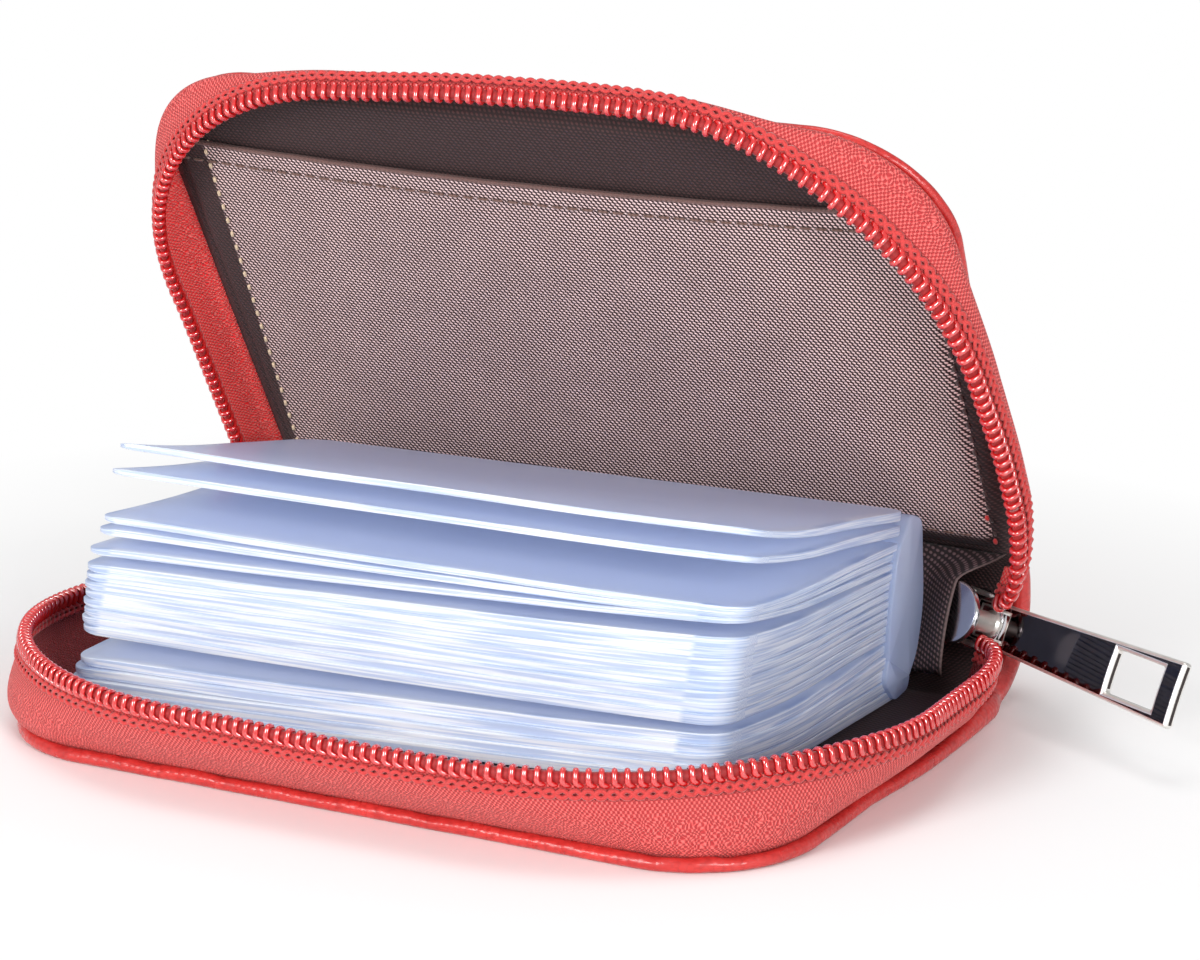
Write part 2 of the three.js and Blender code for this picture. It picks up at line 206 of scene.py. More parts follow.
def surface(name, points, finish, uv=None):
    """Skins a grid of points (rows, columns, xyz) in millimetres, or a stack of such grids, with four-sided
    faces that join each row into a ring. Points that coincide are welded."""
    rows, columns = points.shape[-3:-1]
    grids = points.size // (3 * rows * columns)
    each, row, column = np.indices((grids, rows - 1, columns)).reshape(3, -1, 1)
    corner_row = row + [0, 0, 1, 1]
    corner_column = (column + [0, 1, 1, 0]) % columns
    faces = (each * rows + corner_row) * columns + corner_column
    mesh = bpy.data.meshes.new(name)
    mesh.from_pydata((points.reshape(-1, 3) / 1000).tolist(), [], faces.tolist())
    if uv is not None:
        corners = uv[corner_row, corner_column] / 1000
        mesh.uv_layers.new(name="flat").data.foreach_set("uv", corners.ravel())
    shell = bmesh.new()
    shell.from_mesh(mesh)
    bmesh.ops.remove_doubles(shell, verts=shell.verts, dist=1e-7)
    bmesh.ops.recalc_face_normals(shell, faces=shell.faces)
    shell.to_mesh(mesh)
    shell.free()
    mesh.shade_smooth()
    mesh.materials.append(finish.material)
    piece = bpy.data.objects.new(name, mesh)
    scene.collection.objects.link(piece)
    return piece


# The floor fades to white between two distances from the holder's middle, in metres.
floor_fade, sky_light = (0.06, 0.15), 0.46
floor_paint = Finish("floor_paint", Base_Color=shade(250, 250, 250), Roughness=0.9)
floor_reach = floor_paint.add("VectorMath", {0: floor_paint.place()}, out=1, operation="LENGTH")
floor_share = floor_paint.times(floor_paint.seen(), floor_paint.grade(floor_reach, *floor_fade))
floor_paint.overlay(floor_share, floor_paint.add("Emission", {"Color": (1, 1, 1, 1), "Strength": 1.0}))
floor_turn, floor_radius, floor_drop = full_turn(64), np.geomspace(1, 4000, 30)[:, None], -0.05
floor_grid = points_of(floor_radius * np.cos(floor_turn), floor_radius * np.sin(floor_turn), floor_drop)
surface("floor", floor_grid, floor_paint)

scene.world = bpy.data.worlds.new("studio")
scene.world.use_nodes = True
sky = Wiring(scene.world.node_tree)
sky_strength = sky.grade(sky.seen(), 0, 1, sky_light, 1.0)
sky.give(sky.nodes["Background"], {"Color": (1, 1, 1, 1), "Strength": sky_strength})


# Leather of the covers and the spine: one red grained hide, turned over at the free edges into a
# rolled, glossy rim, and bent round the spine. It is made in two halves that meet at the spine's middle.
cover_half, cover_front, cover_corner = 55.0, 69.0, 16.5
fold_y, fold_radius, spine_turn, fold_reach = 34.5, 12.1, np.radians(119.5), 2.5
spine_roll, hide_thickness = 1.45, 1.2
bulge_x, bulge_s, bulge_spread = 54, 57, 150

red_leather = Finish("red_leather", Specular_IOR_Level=0.5, Coat_Weight=0.2, Coat_Roughness=0.22)
hide_cells = red_leather.add("TexVoronoi", {"Vector": red_leather.place(), "Scale": 1000 / 0.75})
hide_folds = red_leather.noise(2.6, 3.0)
hide_tone = red_leather.grade(red_leather.noise(9.0, 4.0), 0.3, 0.7)
hide_colour = red_leather.mix(hide_tone, shade(184, 42, 40), shade(204, 55, 51))
hide_pits = red_leather.grade(hide_cells, 0.5, 0.9, 0.0, 0.6)
red_leather.set(
    Base_Color=red_leather.mix(hide_pits, hide_colour, shade(160, 28, 28)),
    Roughness=red_leather.grade(hide_folds, 0.3, 0.7, 0.24, 0.38),
)
red_leather.relief(red_leather.maths("ADD", red_leather.times(hide_cells, -0.6), hide_folds), 0.14, 0.9)


def placed(origin, *axes):
    """A function that takes coordinates along three axes, from an origin, to points of the holder."""
    return lambda a, b, c: np.array(origin) + points_of(a, b, c) @ np.array(axes)


# On each cover: x along the fold, s from the fold to the free edge, h from the hide's outer face inwards.
on_lower = placed((0, fold_y, 0), (1, 0, 0), (0, -1, 0), (0, 0, 1))
on_upper = placed(
    (0, fold_y + fold_radius * np.sin(spine_turn), fold_radius * (1 - np.cos(spine_turn))),
    (1, 0, 0),
    (0, np.cos(spine_turn), np.sin(spine_turn)),
    (0, -np.sin(spine_turn), np.cos(spine_turn)),
)


def smooth(t):
    """A soft step from 0 to 1."""
    t = np.clip(t, 0, 1)
    return t * t * (3 - 2 * t)


def ripple(points, pitch, seed):
    """A smooth random swell of about -1 to 1: a few sine waves of about one pitch, in seeded directions."""
    waves, swing = 7, 1.8
    draw = np.random.default_rng(seed)
    heading = draw.normal(size=(waves, points.shape[-1]))
    closeness = 2 * np.pi / pitch * draw.uniform(0.6, 1.5, waves)
    heading *= (closeness / np.linalg.norm(heading, axis=1))[:, None]
    return np.sin(points @ heading.T + draw.uniform(0, 2 * np.pi, waves)).mean(axis=-1) * swing


def cover_grid(margin, arc_rows, rows, columns):
    """x, s and the distance inside the free edge, over a cover and half the spine less a margin. Rows go
    round the spine's arc, where s is negative, then in even steps as far as the round corners, and in
    steps of equal turn round them."""
    half, front, corner = cover_half - margin, cover_front - margin, cover_corner - margin
    turn = np.linspace(0, np.pi / 2, rows)
    reach = np.concatenate([np.full(arc_rows + rows, half), half - corner + corner * np.cos(turn)])
    x = reach[:, None] * np.sin(np.linspace(-np.pi / 2, np.pi / 2, columns))
    s = 0 * x + np.concatenate([
        np.linspace(-fold_radius * spine_turn / 2, 0, arc_rows, endpoint=False),
        np.linspace(0, front - corner, rows, endpoint=False),
        front - corner + corner * np.sin(turn),
    ])[:, None]
    over = np.stack([np.abs(x) - (half - corner), s - (front - corner)])
    return x, s, corner - np.hypot(*np.maximum(over, 0)) - np.minimum(over.max(axis=0), 0)


def closed_ring(outer, inner):
    """Joins a sheet's two faces, row by row, into rings that go out along one and back along the other."""
    return np.concatenate([outer, inner[:, -2:0:-1]], axis=1)


def closed_sheet(under, over):
    """The same, with both ends closed along the middle of the sheet."""
    middle = (under + over) / 2
    return closed_ring(*(np.concatenate([middle[:1], face, middle[-1:]]) for face in (under, over)))


def round_spine(s, h):
    """Distance from the fold and height of a layer h above the hide's outer face: negative s goes round the
    spine's arc."""
    turn = np.clip(-s / fold_radius, 0, None)
    along = np.where(s < 0, -(fold_radius - h) * np.sin(turn), s)
    return along, np.where(s < 0, fold_radius - (fold_radius - h) * np.cos(turn), h)


def leather_half(name, place, rim_roll, crown, draw, flare, bulge, seed):
    """Half of the hide. Near the free edge its two faces follow a rolled rim, a circle in section, and
    further in they lie one hide apart. Rows beyond the fold go round the spine's arc. The left edge is
    drawn in a little, the right one flares out beside the fold, and the right front corner bulges."""
    x, s, inset = cover_grid(0, 20, 38, 120)
    spot = points_of(x, s)
    roll = rim_roll + (spine_roll - rim_roll) * smooth((7 + 9 * (flare > 0) - s) / 14)
    roll = roll * (1 + 0.08 * ripple(spot, 14, seed) + 0.05 * ripple(spot, 4, seed + 5))
    bead = np.sqrt(np.clip(roll**2 - np.maximum(roll - inset, 0) ** 2, 0, None))
    outer = roll - bead - crown * smooth((inset - 1) / 22) * smooth((s + 2) / 20)
    groove = np.exp(-np.clip((inset - roll) / 1.2, 0, None) ** 2)
    inner = np.where(inset < roll, roll + bead, hide_thickness + (2 * roll - hide_thickness) * groove)
    inner = inner + 0.07 * ripple(spot, 2.6, seed + 1) * groove * smooth(inset / 0.6)
    push = bulge * np.exp(-((x - bulge_x) ** 2 + (s - bulge_s) ** 2) / bulge_spread)
    x = x + draw * smooth(-x / 50) * smooth((s - 8) / 20) + 0.85 * push
    x = x + flare * smooth((x - 30) / 25) * smooth((s + 3) / 6) * (1 - smooth((s - 22) / 18))
    s = s + 0.4 * push
    return surface(name, closed_ring(*(place(x, *round_spine(s, h)) for h in (outer, inner))), red_leather)


def bend_at_fold(piece, cover, cover_point, spine_point):
    """Bakes a soft piece's place into its mesh, on either cover. The points on the cover and the spine are
    not used.
    """
    if cover == "lower":
        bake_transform(piece)
    else:
        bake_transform(piece)


skin_lower = leather_half(
    "skin_lower", on_lower, rim_roll=0.86, crown=0, draw=1.3, flare=1.3, bulge=0, seed=11)
skin_upper = leather_half(
    "skin_upper", on_upper, rim_roll=0.66, crown=0.9, draw=0, flare=0, bulge=0.9, seed=23)
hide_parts("lower_leather", "spine_leather")
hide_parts("upper_leather")
for skin, cover, place in ((skin_lower, "lower", on_lower), (skin_upper, "upper", on_upper)):
    bend_at_fold(skin, cover, place(0, fold_reach, 0), place(0, -fold_reach, 0))


# Stiffening boards: grey millboard glued between leather and lining, seen only as the covers' stiffness.
greyboard = Finish("greyboard", Roughness=0.9)
board_fibre = greyboard.noise(0.5, 4.0)
greyboard.set(Base_Color=greyboard.mix(board_fibre, shade(150, 138, 118), shade(186, 172, 148)))
greyboard.relief(board_fibre, 0.06)
for board in ("lower_board", "upper_board"):
    frame["nodes"][board].data.materials.clear()
    frame["nodes"][board].data.materials.append(greyboard.material)


# Cover linings: twill stretched over the boards, round the inside of the spine and down behind
# the zip tape. They are painted in darker tones of the pocket's flecked twill, as painted shade for the
# holder's insides.
twill_wide, twill_high = 0.66, 0.45
# Painted shade: the flecked twill's dark and pale tones darkened as in shade, for the linings and the
# pocket's margins.
twill_painted_shade = shade(32, 14, 16), shade(74, 43, 43)
lining_top, lining_lift, lining_thickness = 2.85, 0.4, 0.3


def twill(name):
    """Woven cloth: rows of raised dots, each row part of a dot along from the last, which are the product
    of two cosines. The flat coordinates and the dots' height come with it."""
    cloth = Finish(name, Roughness=0.75, Sheen_Weight=0.05, Sheen_Roughness=0.5)
    flat = cloth.parts(cloth.flat())
    up = cloth.times(flat[1], 2000 * np.pi / twill_high)
    slant = cloth.maths("ADD", cloth.times(flat[0], 2000 * np.pi / twill_wide), cloth.times(up, 0.4))
    row_height = cloth.grade(cloth.maths("COSINE", up), -1, 1, 0.25, 1)
    dots = cloth.times(cloth.grade(cloth.maths("COSINE", slant), -1, 1), row_height)
    cloth.relief(dots, 0.08)
    return cloth, flat, dots


# Painted shade: both linings wear the darkened twill tones.
inner_cloth_painted_shade, _, inner_dots = twill("inner_cloth_painted_shade")
inner_cloth_painted_shade.set(Base_Color=inner_cloth_painted_shade.mix(inner_cloth_painted_shade.grade(inner_dots, 0.25, 0.7), *twill_painted_shade))


def cover_lining(name, place, margin, seed):
    """A panel with the cover's rounded outline: level in the middle with a faint swell, falling away towards
    its edges where it is tucked in, and lying on the hide from the fold to the spine's middle."""
    x, s, inset = cover_grid(margin, 14, 30, 60)
    flat = points_of(x, s)
    board = smooth((s - 0.8) / 2.4)
    low = hide_thickness + lining_lift
    tuck = 1.2 * (1 - smooth(inset / 2.0))
    h = low + (lining_top - low - tuck) * board + 0.06 * ripple(flat, 18, seed)
    faces = (place(x, *round_spine(s, face)) for face in (h - lining_thickness, h))
    return surface(name, closed_sheet(*faces), inner_cloth_painted_shade, uv=closed_sheet(flat, flat))


for cover, place, margin, seed in (("lower", on_lower, 2.0, 31), ("upper", on_upper, 0.3, 37)):
    lining = cover_lining("lining_" + cover, place, margin, seed)
    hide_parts(cover + "_lining")
    bend_at_fold(lining, cover, place(0, fold_reach, 0), place(0, -fold_reach, 0))


# Note pocket: a panel of brown twill flecked with pale pink dots, sewn to the upper lining at its sides and
# foot, where its margins are painted darker as painted shade. Its top edge is turned back as a hem that
# stands a little open.
pocket_half, pocket_foot, pocket_top, pocket_lift, hem_depth = 53.4, 4.2, 58.2, 1.3, 2.7
left_seam_x, left_seam_lean, right_seam_x, right_seam_lean = -50.7, 0.0627, 52.4, -0.01
# Where its margins of painted shade and its hem's edge start and where they have their full tone, in metres.
left_margin, right_margin = (0.0507, 0.0512), (0.0526, 0.0531)
foot_margin, hem_edge = (0.0062, 0.0054), (0.0578, 0.0580)

flecked, fleck_flat, fleck_dots = twill("lining_cloth")
fleck_left = flecked.maths("SUBTRACT", flecked.times(fleck_flat[1], left_seam_lean), fleck_flat[0])
fleck_left = flecked.grade(fleck_left, *left_margin)
fleck_sides = flecked.most(fleck_left, flecked.grade(fleck_flat[0], *right_margin))
fleck_painted_shade_margin = flecked.most(fleck_sides, flecked.grade(fleck_flat[1], *foot_margin))
fleck_fade = flecked.grade(flecked.noise(7, 3.0), 0.3, 0.7, 0.88, 1.0)
fleck_pale = flecked.times(flecked.grade(fleck_dots, 0.25, 0.48), fleck_fade)
fleck_colour = flecked.mix(fleck_pale, shade(44, 20, 22), shade(244, 210, 208))
# Painted shade: the margins take the linings' darkened tones.
fleck_colour = flecked.mix(fleck_painted_shade_margin, fleck_colour, flecked.mix(fleck_pale, *twill_painted_shade))
fleck_edge = flecked.grade(fleck_flat[1], *hem_edge)
flecked.set(Base_Color=flecked.mix(fleck_edge, fleck_colour, shade(104, 76, 72)))


def pocket_height(x, s):
    """Height of the pocket's outer face over the cover: a billow that grows towards the hem, the hem's
    second layer, and sides that fall away to the seams."""
    billow = 0.75 * smooth((s - 18) / 38) * (1 - (x / pocket_half) ** 2)
    hem = 0.08 * smooth(s - pocket_top + hem_depth + 0.6)
    tuck = 1.5 * smooth((np.abs(x) - pocket_half + 3.0) / 3.0) ** 1.5
    foot = 0.5 * (1 - smooth((s - pocket_foot) / 2))
    dimple = 0.05 * ripple(points_of(x, s), 12, 41)
    return 3.55 + billow + hem - tuck - foot + dimple


def on_pocket(x, s, sink=0.0):
    """Points on the pocket's face, or sunk below it. The hem rises from its middle to its sides."""
    rise = pocket_lift * (x / pocket_half) ** 2
    share = (s - pocket_foot) / (pocket_top - pocket_foot)
    return on_upper(x, s + share * rise, pocket_height(x, s) - sink)


# Near its top the panel's sides follow the cover's round corners, and the back has the hem's thickness.
hem_start, pocket_clear, pocket_depth = 0.94, 1.1, pocket_top - pocket_foot
pocket_share = np.linspace(0, hem_start, 50, endpoint=False)
pocket_share = np.append(pocket_share, np.linspace(hem_start, 1, 14))[:, None]
pocket_past = pocket_foot + pocket_share * (pocket_depth + pocket_lift) - cover_front + cover_corner
pocket_round = np.sqrt(cover_corner**2 - np.clip(pocket_past, 0, None) ** 2)
pocket_reach = np.minimum(pocket_half, cover_half - pocket_clear - cover_corner + pocket_round)
pocket_x = pocket_reach * np.sin(np.linspace(-np.pi / 2, np.pi / 2, 90))
pocket_s = pocket_foot + pocket_share * pocket_depth
pocket_sink = 0.35 + 0.3 * smooth((pocket_share - hem_start) / 0.02)
pocket_grid = closed_sheet(on_pocket(pocket_x, pocket_s, pocket_sink), on_pocket(pocket_x, pocket_s))
pocket_flat = points_of(pocket_x, pocket_s)
pocket = surface("pocket", pocket_grid, flecked, uv=closed_sheet(pocket_flat + [0, 0.7], pocket_flat))


def fit(piece, body, slot, *nodes):
    """Fixes a piece to a body and hides the solids that it stands for. The material slot is not used."""
    if nodes:
        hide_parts(*nodes)
    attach(piece, body)


fit(pocket, "upper_cover", "lining_cloth", "note_pocket")


def unit(vectors):
    """Vectors scaled to a length of 1."""
    return vectors / np.linalg.norm(vectors, axis=-1, keepdims=True)


def path_sides(path, normal):
    """The ways sideways and up at each point of a path, from a rough normal."""
    along = unit(np.gradient(path, axis=0))
    aside = unit(np.cross(normal, along))
    return aside, np.cross(along, aside)


def path_length(path):
    """Distance walked along a path at each of its points."""
    return np.concatenate([[0], np.cumsum(np.linalg.norm(np.diff(path, axis=0), axis=1))])


def walk(path, distance):
    """Points, or other values given along a path, at distances along it."""
    gone = path_length(path[:, :3])
    return np.stack([np.interp(distance, gone, values) for values in path.T], axis=-1)


def ovals(path, aside, over, wide, tall, sides):
    """Rings of points round a path, each an oval so wide to the sides and so tall."""
    turn = full_turn(sides)[:, None]
    return path[:, None] + wide * np.cos(turn) * aside[:, None] + tall * np.sin(turn) * over[:, None]


def stitch_row(name, path, normal, pitch, length, radius, finish):
    """A row of sewn stitches along a path: each is a short capsule, sunk at both ends into the cloth."""
    middle = np.arange(pitch / 2, path_length(path)[-1] - length / 2, pitch)
    rings, sides, flatness = 7, 6, 0.75
    step = np.linspace(-1, 1, rings)
    line = walk(path, (middle[:, None] + step * length / 2).ravel())
    aside, up = path_sides(line, normal)
    thick = radius * np.sqrt(np.clip(1 - np.tile(step, len(middle)) ** 4, 0, 1))[:, None]
    skin = ovals(line + 0.8 * thick * up, aside, up, thick[:, None], flatness * thick[:, None], sides)
    return surface(name, skin.reshape(len(middle), rings, sides, 3), finish)


def thread(name, colour):
    """Twisted sewing thread: fine flecks of light and dark."""
    finish = Finish(name, Roughness=0.6, Sheen_Weight=0.3)
    fibre = finish.noise(0.25, 2.0)
    finish.set(Base_Color=finish.mix(fibre, tuple(c * 0.55 for c in colour[:3]) + (1,), colour))
    finish.relief(fibre, 0.05)
    return finish


brown_thread = thread("brown_thread", shade(112, 78, 68))
beige_thread = thread("beige_thread", shade(226, 200, 168))
dark_thread = thread("dark_thread", shade(74, 46, 46))
side_s = np.linspace(pocket_foot + 1, pocket_top + 2.4, 120)


def side_seam(x):
    """A seam up a side of the pocket and on over the lining."""
    return np.where((side_s < pocket_top)[:, None], on_pocket(x, side_s), on_upper(x, side_s, lining_top))


def level_seam(s, margin):
    """A seam across the pocket that ends a margin from its sides."""
    return on_pocket(np.linspace(margin - pocket_half, pocket_half - margin, 160), s)


for name, path, pitch, length, radius, finish in (
    ("hem_seam", level_seam(pocket_top - hem_depth - 0.1, 1.5), 2.1, 1.75, 0.21, brown_thread),
    ("pocket_seam_left", side_seam(left_seam_x + left_seam_lean * side_s), 2.35, 1.0, 0.26, beige_thread),
    ("pocket_seam_right", side_seam(right_seam_x + right_seam_lean * side_s), 2.35, 1.0, 0.26, dark_thread),
    ("pocket_seam_foot", level_seam(pocket_foot + 2.1, 2), 2.3, 1.8, 0.17, brown_thread),
):
    seam = stitch_row(name, path, on_upper(0, 0, 1) - on_upper(0, 0, 0), pitch, length, radius, finish)
    fit(seam, "upper_cover", "lining_cloth")


# Zip tapes: coral red webbing sewn in behind the rim, leaning out to a rounder line. It is pebbly
# over most of its width, finely ribbed near the coil, and a chain stitch holds the coil on.
tape_thickness, tape_spare, spare_rows, tape_columns, inner_mark = 0.5, 5.0, 8, 28, 50.0
chain_inset, chain_swing, chain_lift, chain_dip, chain_wide, chain_tall = 1.2, 0.44, 0.16, 0.1, 0.3, 0.22
coil_pitch, coil_rise, coil_depth, coil_seat = 1.45, 0.9, 0.62, 0.6
filament_wide, filament_tall, cord_sink, cord_wide, cord_tall = 0.38, 0.33, 0.04, 0.44, 0.78
zip_steps, rim_rows, rim_samples = (50, 70, 90, 70, 50), 340, 1500
zip_free_end, zip_slider_end, foot_out, foot_up = 5.0, 16.0, 0.85, 0.53

tape = Finish("zip_tape", Roughness=0.7, Sheen_Weight=0.2, Sheen_Roughness=0.45)
tape.set(Sheen_Tint=shade(255, 200, 195))
tape_flat = tape.flat()
tape_raw = tape.parts(tape_flat)[1]
tape_inner = tape.grade(tape_raw, 0.02, 0.021)
tape_across = tape.maths("SUBTRACT", tape_raw, tape.times(tape_inner, inner_mark / 1000))
tape_stray = tape.add("TexNoise", {"Vector": tape_flat, "Scale": 900.0, "Detail": 1.0}, out=1)
tape_stray = tape.add("VectorMath", {0: tape_stray, 1: (0.5, 0.5, 0.5)}, operation="SUBTRACT")
tape_loose = tape.grade(tape_across, -0.0045, -0.0032, 0.0011, 0.0001)
tape_stray = tape.add("VectorMath", {0: tape_stray, "Scale": tape_loose}, operation="SCALE")
tape_parts = tape.parts(tape.add("VectorMath", {0: tape_flat, 1: tape_stray}))
tape_ends = tape.maths("COSINE", tape.times(tape_parts[0], 2000 * np.pi / 0.56))
tape_rows = tape.maths("COSINE", tape.times(tape_parts[1], 2000 * np.pi / 0.72))
tape_height = tape.grade(tape.times(tape_ends, tape_rows), -0.45, 0.5)
tape_tone = tape.mix(tape_height, shade(176, 36, 40), shade(244, 104, 100))
# Painted light: the inner face is brighter and redder, standing in for light that its side does not get.
tape_inner_painted_light_and_shade = tape.mix(tape_height, shade(255, 34, 36), shade(255, 118, 110))
# Painted shade: below a height of 13 to 16 mm, on the lower cover, the inner face is darker.
tape_inner_painted_shade = tape.mix(tape_height, shade(124, 7, 13), shade(147, 28, 31))
tape_inner_painted_light_and_shade = tape.mix(tape.grade(tape.parts(tape.place())[2], 0.016, 0.013), tape_inner_painted_light_and_shade, tape_inner_painted_shade)
tape_tone = tape.mix(tape_inner, tape_tone, tape_inner_painted_light_and_shade)
tape_seam = tape.times(tape.grade(tape_across, -0.0021, -0.0017), tape.grade(tape_across, -0.0004, -0.0008))
tape.set(Base_Color=tape.mix(tape_seam, tape_tone, shade(136, 20, 24)))
tape.relief(tape_height, 0.18)

zip_thread = thread("zip_thread", shade(218, 52, 50))
zip_cord = thread("zip_cord", shade(176, 16, 20))
nylon = Finish("zip_nylon", Roughness=0.25, Specular_IOR_Level=0.6)
nylon.set(Coat_Weight=1.0, Coat_IOR=2.0, Coat_Roughness=0.1)
nylon.set(Base_Color=nylon.mix(nylon.noise(1.2, 2.0), shade(190, 9, 13), shade(216, 20, 22)))
nylon.relief(nylon.noise(0.5, 1.0), 0.02, 0.4)


def rim_line(outset, radius, height):
    """A line round a cover's three free edges, as x, s, h and the way out in x and s: straight sides,
    round corners and a straight front, from the free end to the slider's end. Each stretch is walked by
    the turn of the way out and by the middle that the corner's radius is drawn from."""
    half, front, side = cover_half + outset - radius, cover_front + outset - radius, np.pi / 2
    knots = np.array([(-side, -half, zip_free_end), (-side, -half, front), (0, -half, front),
                      (0, half, front), (side, half, front), (side, half, zip_slider_end)])
    stretches = [np.linspace(*ends) for ends in zip(knots, knots[1:], zip_steps)]
    turn, x, s = np.concatenate(stretches).T
    out_x, out_s = np.sin(turn), np.cos(turn)
    return points_of(x + radius * out_x, s + radius * out_s, height, out_x, out_s)


def softened(values, width, **pad):
    """Values evened out along a line by a bell-shaped window."""
    bell = np.hanning(width) / np.hanning(width).sum()
    return np.convolve(np.pad(values, width // 2, **pad), bell, "valid")


def swayed(line, table):
    """Moves a rim line out and up by amounts given at shares of its length, softened between them."""
    gone = path_length(line[:, :3])
    share, *amounts = table.T
    out, up = (softened(np.interp(gone / gone[-1], share, amount), 41, mode="edge") for amount in amounts)
    return line + points_of(out * line[:, 3], out * line[:, 4], up, 0, 0)


def facing(foot, head):
    """Points of a foot line that face those of a head line: the nearest ones, evened out along it."""
    dense = walk(foot, np.linspace(0, path_length(foot[:, :3])[-1], rim_samples))
    near = np.linalg.norm(head[:, None, :2] - dense[None, :, :2], axis=-1).argmin(axis=1)
    even = softened(near.astype(float), 51, mode="reflect", reflect_type="odd")
    return np.stack([np.interp(even, np.arange(rim_samples), values) for values in dense.T], axis=-1)


def drawn_out(line):
    """A line with its start carried straight on by the tape's spare length."""
    more = np.linspace(tape_spare, 0, spare_rows, endpoint=False)[:, None]
    return np.concatenate([line[0] + unit(line[0] - line[2]) * more, line])


def cubic(t, start, leave, arrive, end):
    """A cubic curve between two points, drawn by two more on the way."""
    return (1 - t) ** 3 * start + 3 * (1 - t) ** 2 * t * leave + 3 * (1 - t) * t**2 * arrive + t**3 * end


def tape_faces(foot, head, leave, arrive, hand):
    """Mid-surface of a tape, the way out of it, and each point's place along and across it. Each row is a
    cubic curve that leaves the foot along one slope and reaches the coil along another."""
    near, far = foot[:, None], head[:, None]
    share = np.linspace(0, 1, tape_columns)[:, None]
    middle = cubic(share, near, near + leave[:, None], far - arrive[:, None], far)
    normal = unit(hand * np.cross(np.gradient(middle, axis=0), np.gradient(middle, axis=1)))
    step = np.linalg.norm(np.diff(middle, axis=1), axis=-1)
    across = np.concatenate([0 * step[:, :1], np.cumsum(step, axis=1)], axis=1)
    return middle, normal, points_of(path_length(head)[:, None], across - across[:, -1:])


def tape_piece(name, *rows):
    """A closed tape with flat ends from its two faces. The inner face is marked by its place across the tape,
    which starts inner_mark further on, so that it can be painted apart: brighter as painted light, and darker
    low down on the lower cover as painted shade."""
    middle, normal, flat = tape_faces(*rows)
    grid = closed_sheet(middle + normal * tape_thickness / 2, middle - normal * tape_thickness / 2)
    return surface(name, grid, tape, uv=closed_sheet(flat, flat + [0, inner_mark]))


def tube(path, up, wide, tall, sides):
    """A tube with an oval section carried along a path, its ends drawn to their middles."""
    return capped(ovals(path, *path_sides(path, up), wide, tall, sides))


def capped(skin):
    """A tube's points with its ends drawn to their middles."""
    first, last = (np.broadcast_to(skin[k].mean(axis=0), skin[:1].shape) for k in (0, -1))
    return np.concatenate([first, skin, last])


def squared(value, power):
    """A sine or cosine raised to a small power with its sign kept, which squares off a circle."""
    return np.sign(value) * np.abs(value) ** power


def coil_piece(name, line, reach, start):
    """A nylon filament wound round a line in flat loops. Each loop stands square to the line, and the
    filament steps on by one pitch only at the heel, on the tape. start carries the winding on from another
    piece."""
    length = path_length(line)[-1]
    turns = np.linspace(start, start + length / coil_pitch, int(length / coil_pitch * 20))
    share = turns % 1.0
    spot = (np.floor(turns) + smooth((share - 0.3) / 0.4) - start) * coil_pitch
    values = np.concatenate([line, reach, unit(np.gradient(line, axis=0))], axis=1)
    core, lift, run = np.split(walk(values, np.clip(spot, 0, length)), 3, axis=1)
    lift = unit(lift - (lift * run).sum(axis=1, keepdims=True) * run)
    rise = coil_rise * squared(np.cos(2 * np.pi * share), 0.7)
    depth = coil_depth * squared(np.sin(2 * np.pi * share), 0.6)
    # A minute creep along the line keeps neighbouring points from coinciding.
    creep = 1e-6 * turns[:, None] * run
    path = core + rise[:, None] * lift + depth[:, None] * np.cross(run, lift) + creep
    skin = tube(path, np.cross(np.gradient(path, axis=0), run), filament_wide, filament_tall, 8)
    return surface(name, skin, nylon), turns[-1]


def chain_stitch(name, rows, side):
    """Two threads that cross at each turn of the coil, laid on a tape's face at an inset below its edge."""
    middle, normal, flat = tape_faces(*rows)
    row = np.arange(len(middle))
    low = (flat[..., 1] < -chain_inset).sum(axis=1) - 1
    rest = (-chain_inset - flat[row, low, 1]) / (flat[row, low + 1, 1] - flat[row, low, 1])
    up = middle[row, low + 1] - middle[row, low]
    line = middle[row, low] + rest[:, None] * up
    length = path_length(line)[-1]
    spot = np.linspace(0, length, int(length / coil_pitch * 10))
    values = walk(np.concatenate([line, side * normal[row, low], unit(up)], axis=1), spot)
    line, out, up = np.split(values, 3, axis=1)
    strands = []
    for shift in (0, np.pi):
        phase = np.pi * spot[:, None] / coil_pitch + shift
        lift = tape_thickness / 2 + chain_lift + chain_dip * np.sin(2 * phase)
        path = line + out * lift + up * chain_swing * np.sin(phase)
        strands.append(tube(path, out, chain_wide, chain_tall, 6))
    return surface(name, np.stack(strands), zip_thread)


# How far each coil strays out and up from an even line, at shares of its length.
lower_sway = np.array([
    [0, 0.2, -3.6], [0.1, 0.2, -3.6], [0.17, -0.1, -2.0], [0.25, -0.2, -0.2], [0.3, 0.3, 0.0], [0.45, 0, 0],
    [0.55, 0.4, -0.35], [0.65, 0.15, -0.1], [0.75, 0, 0], [0.82, -0.3, 0.25], [0.9, -0.6, -0.7],
    [0.96, -1.9, -1.7], [1, -2.3, -2.0],
])
upper_sway = np.array([
    [0, -0.3, -0.3], [0.15, -0.3, -0.3], [0.21, 0.6, 0.0], [0.3, 0.6, -0.3], [0.42, 0.5, -0.5],
    [0.5, 1.35, -1.3], [0.57, 1.55, -1.5], [0.61, 1.55, -1.5], [0.65, 1.3, -1.2], [0.68, 1.0, -1.0],
    [0.71, 0.35, -0.35], [0.74, -0.3, 0.3], [0.77, -0.4, 0.4], [0.83, -0.75, 0.75], [0.87, -1.0, 1.0],
    [0.93, -0.4, 0.4], [0.96, 0, 0], [1, 0, 0],
])

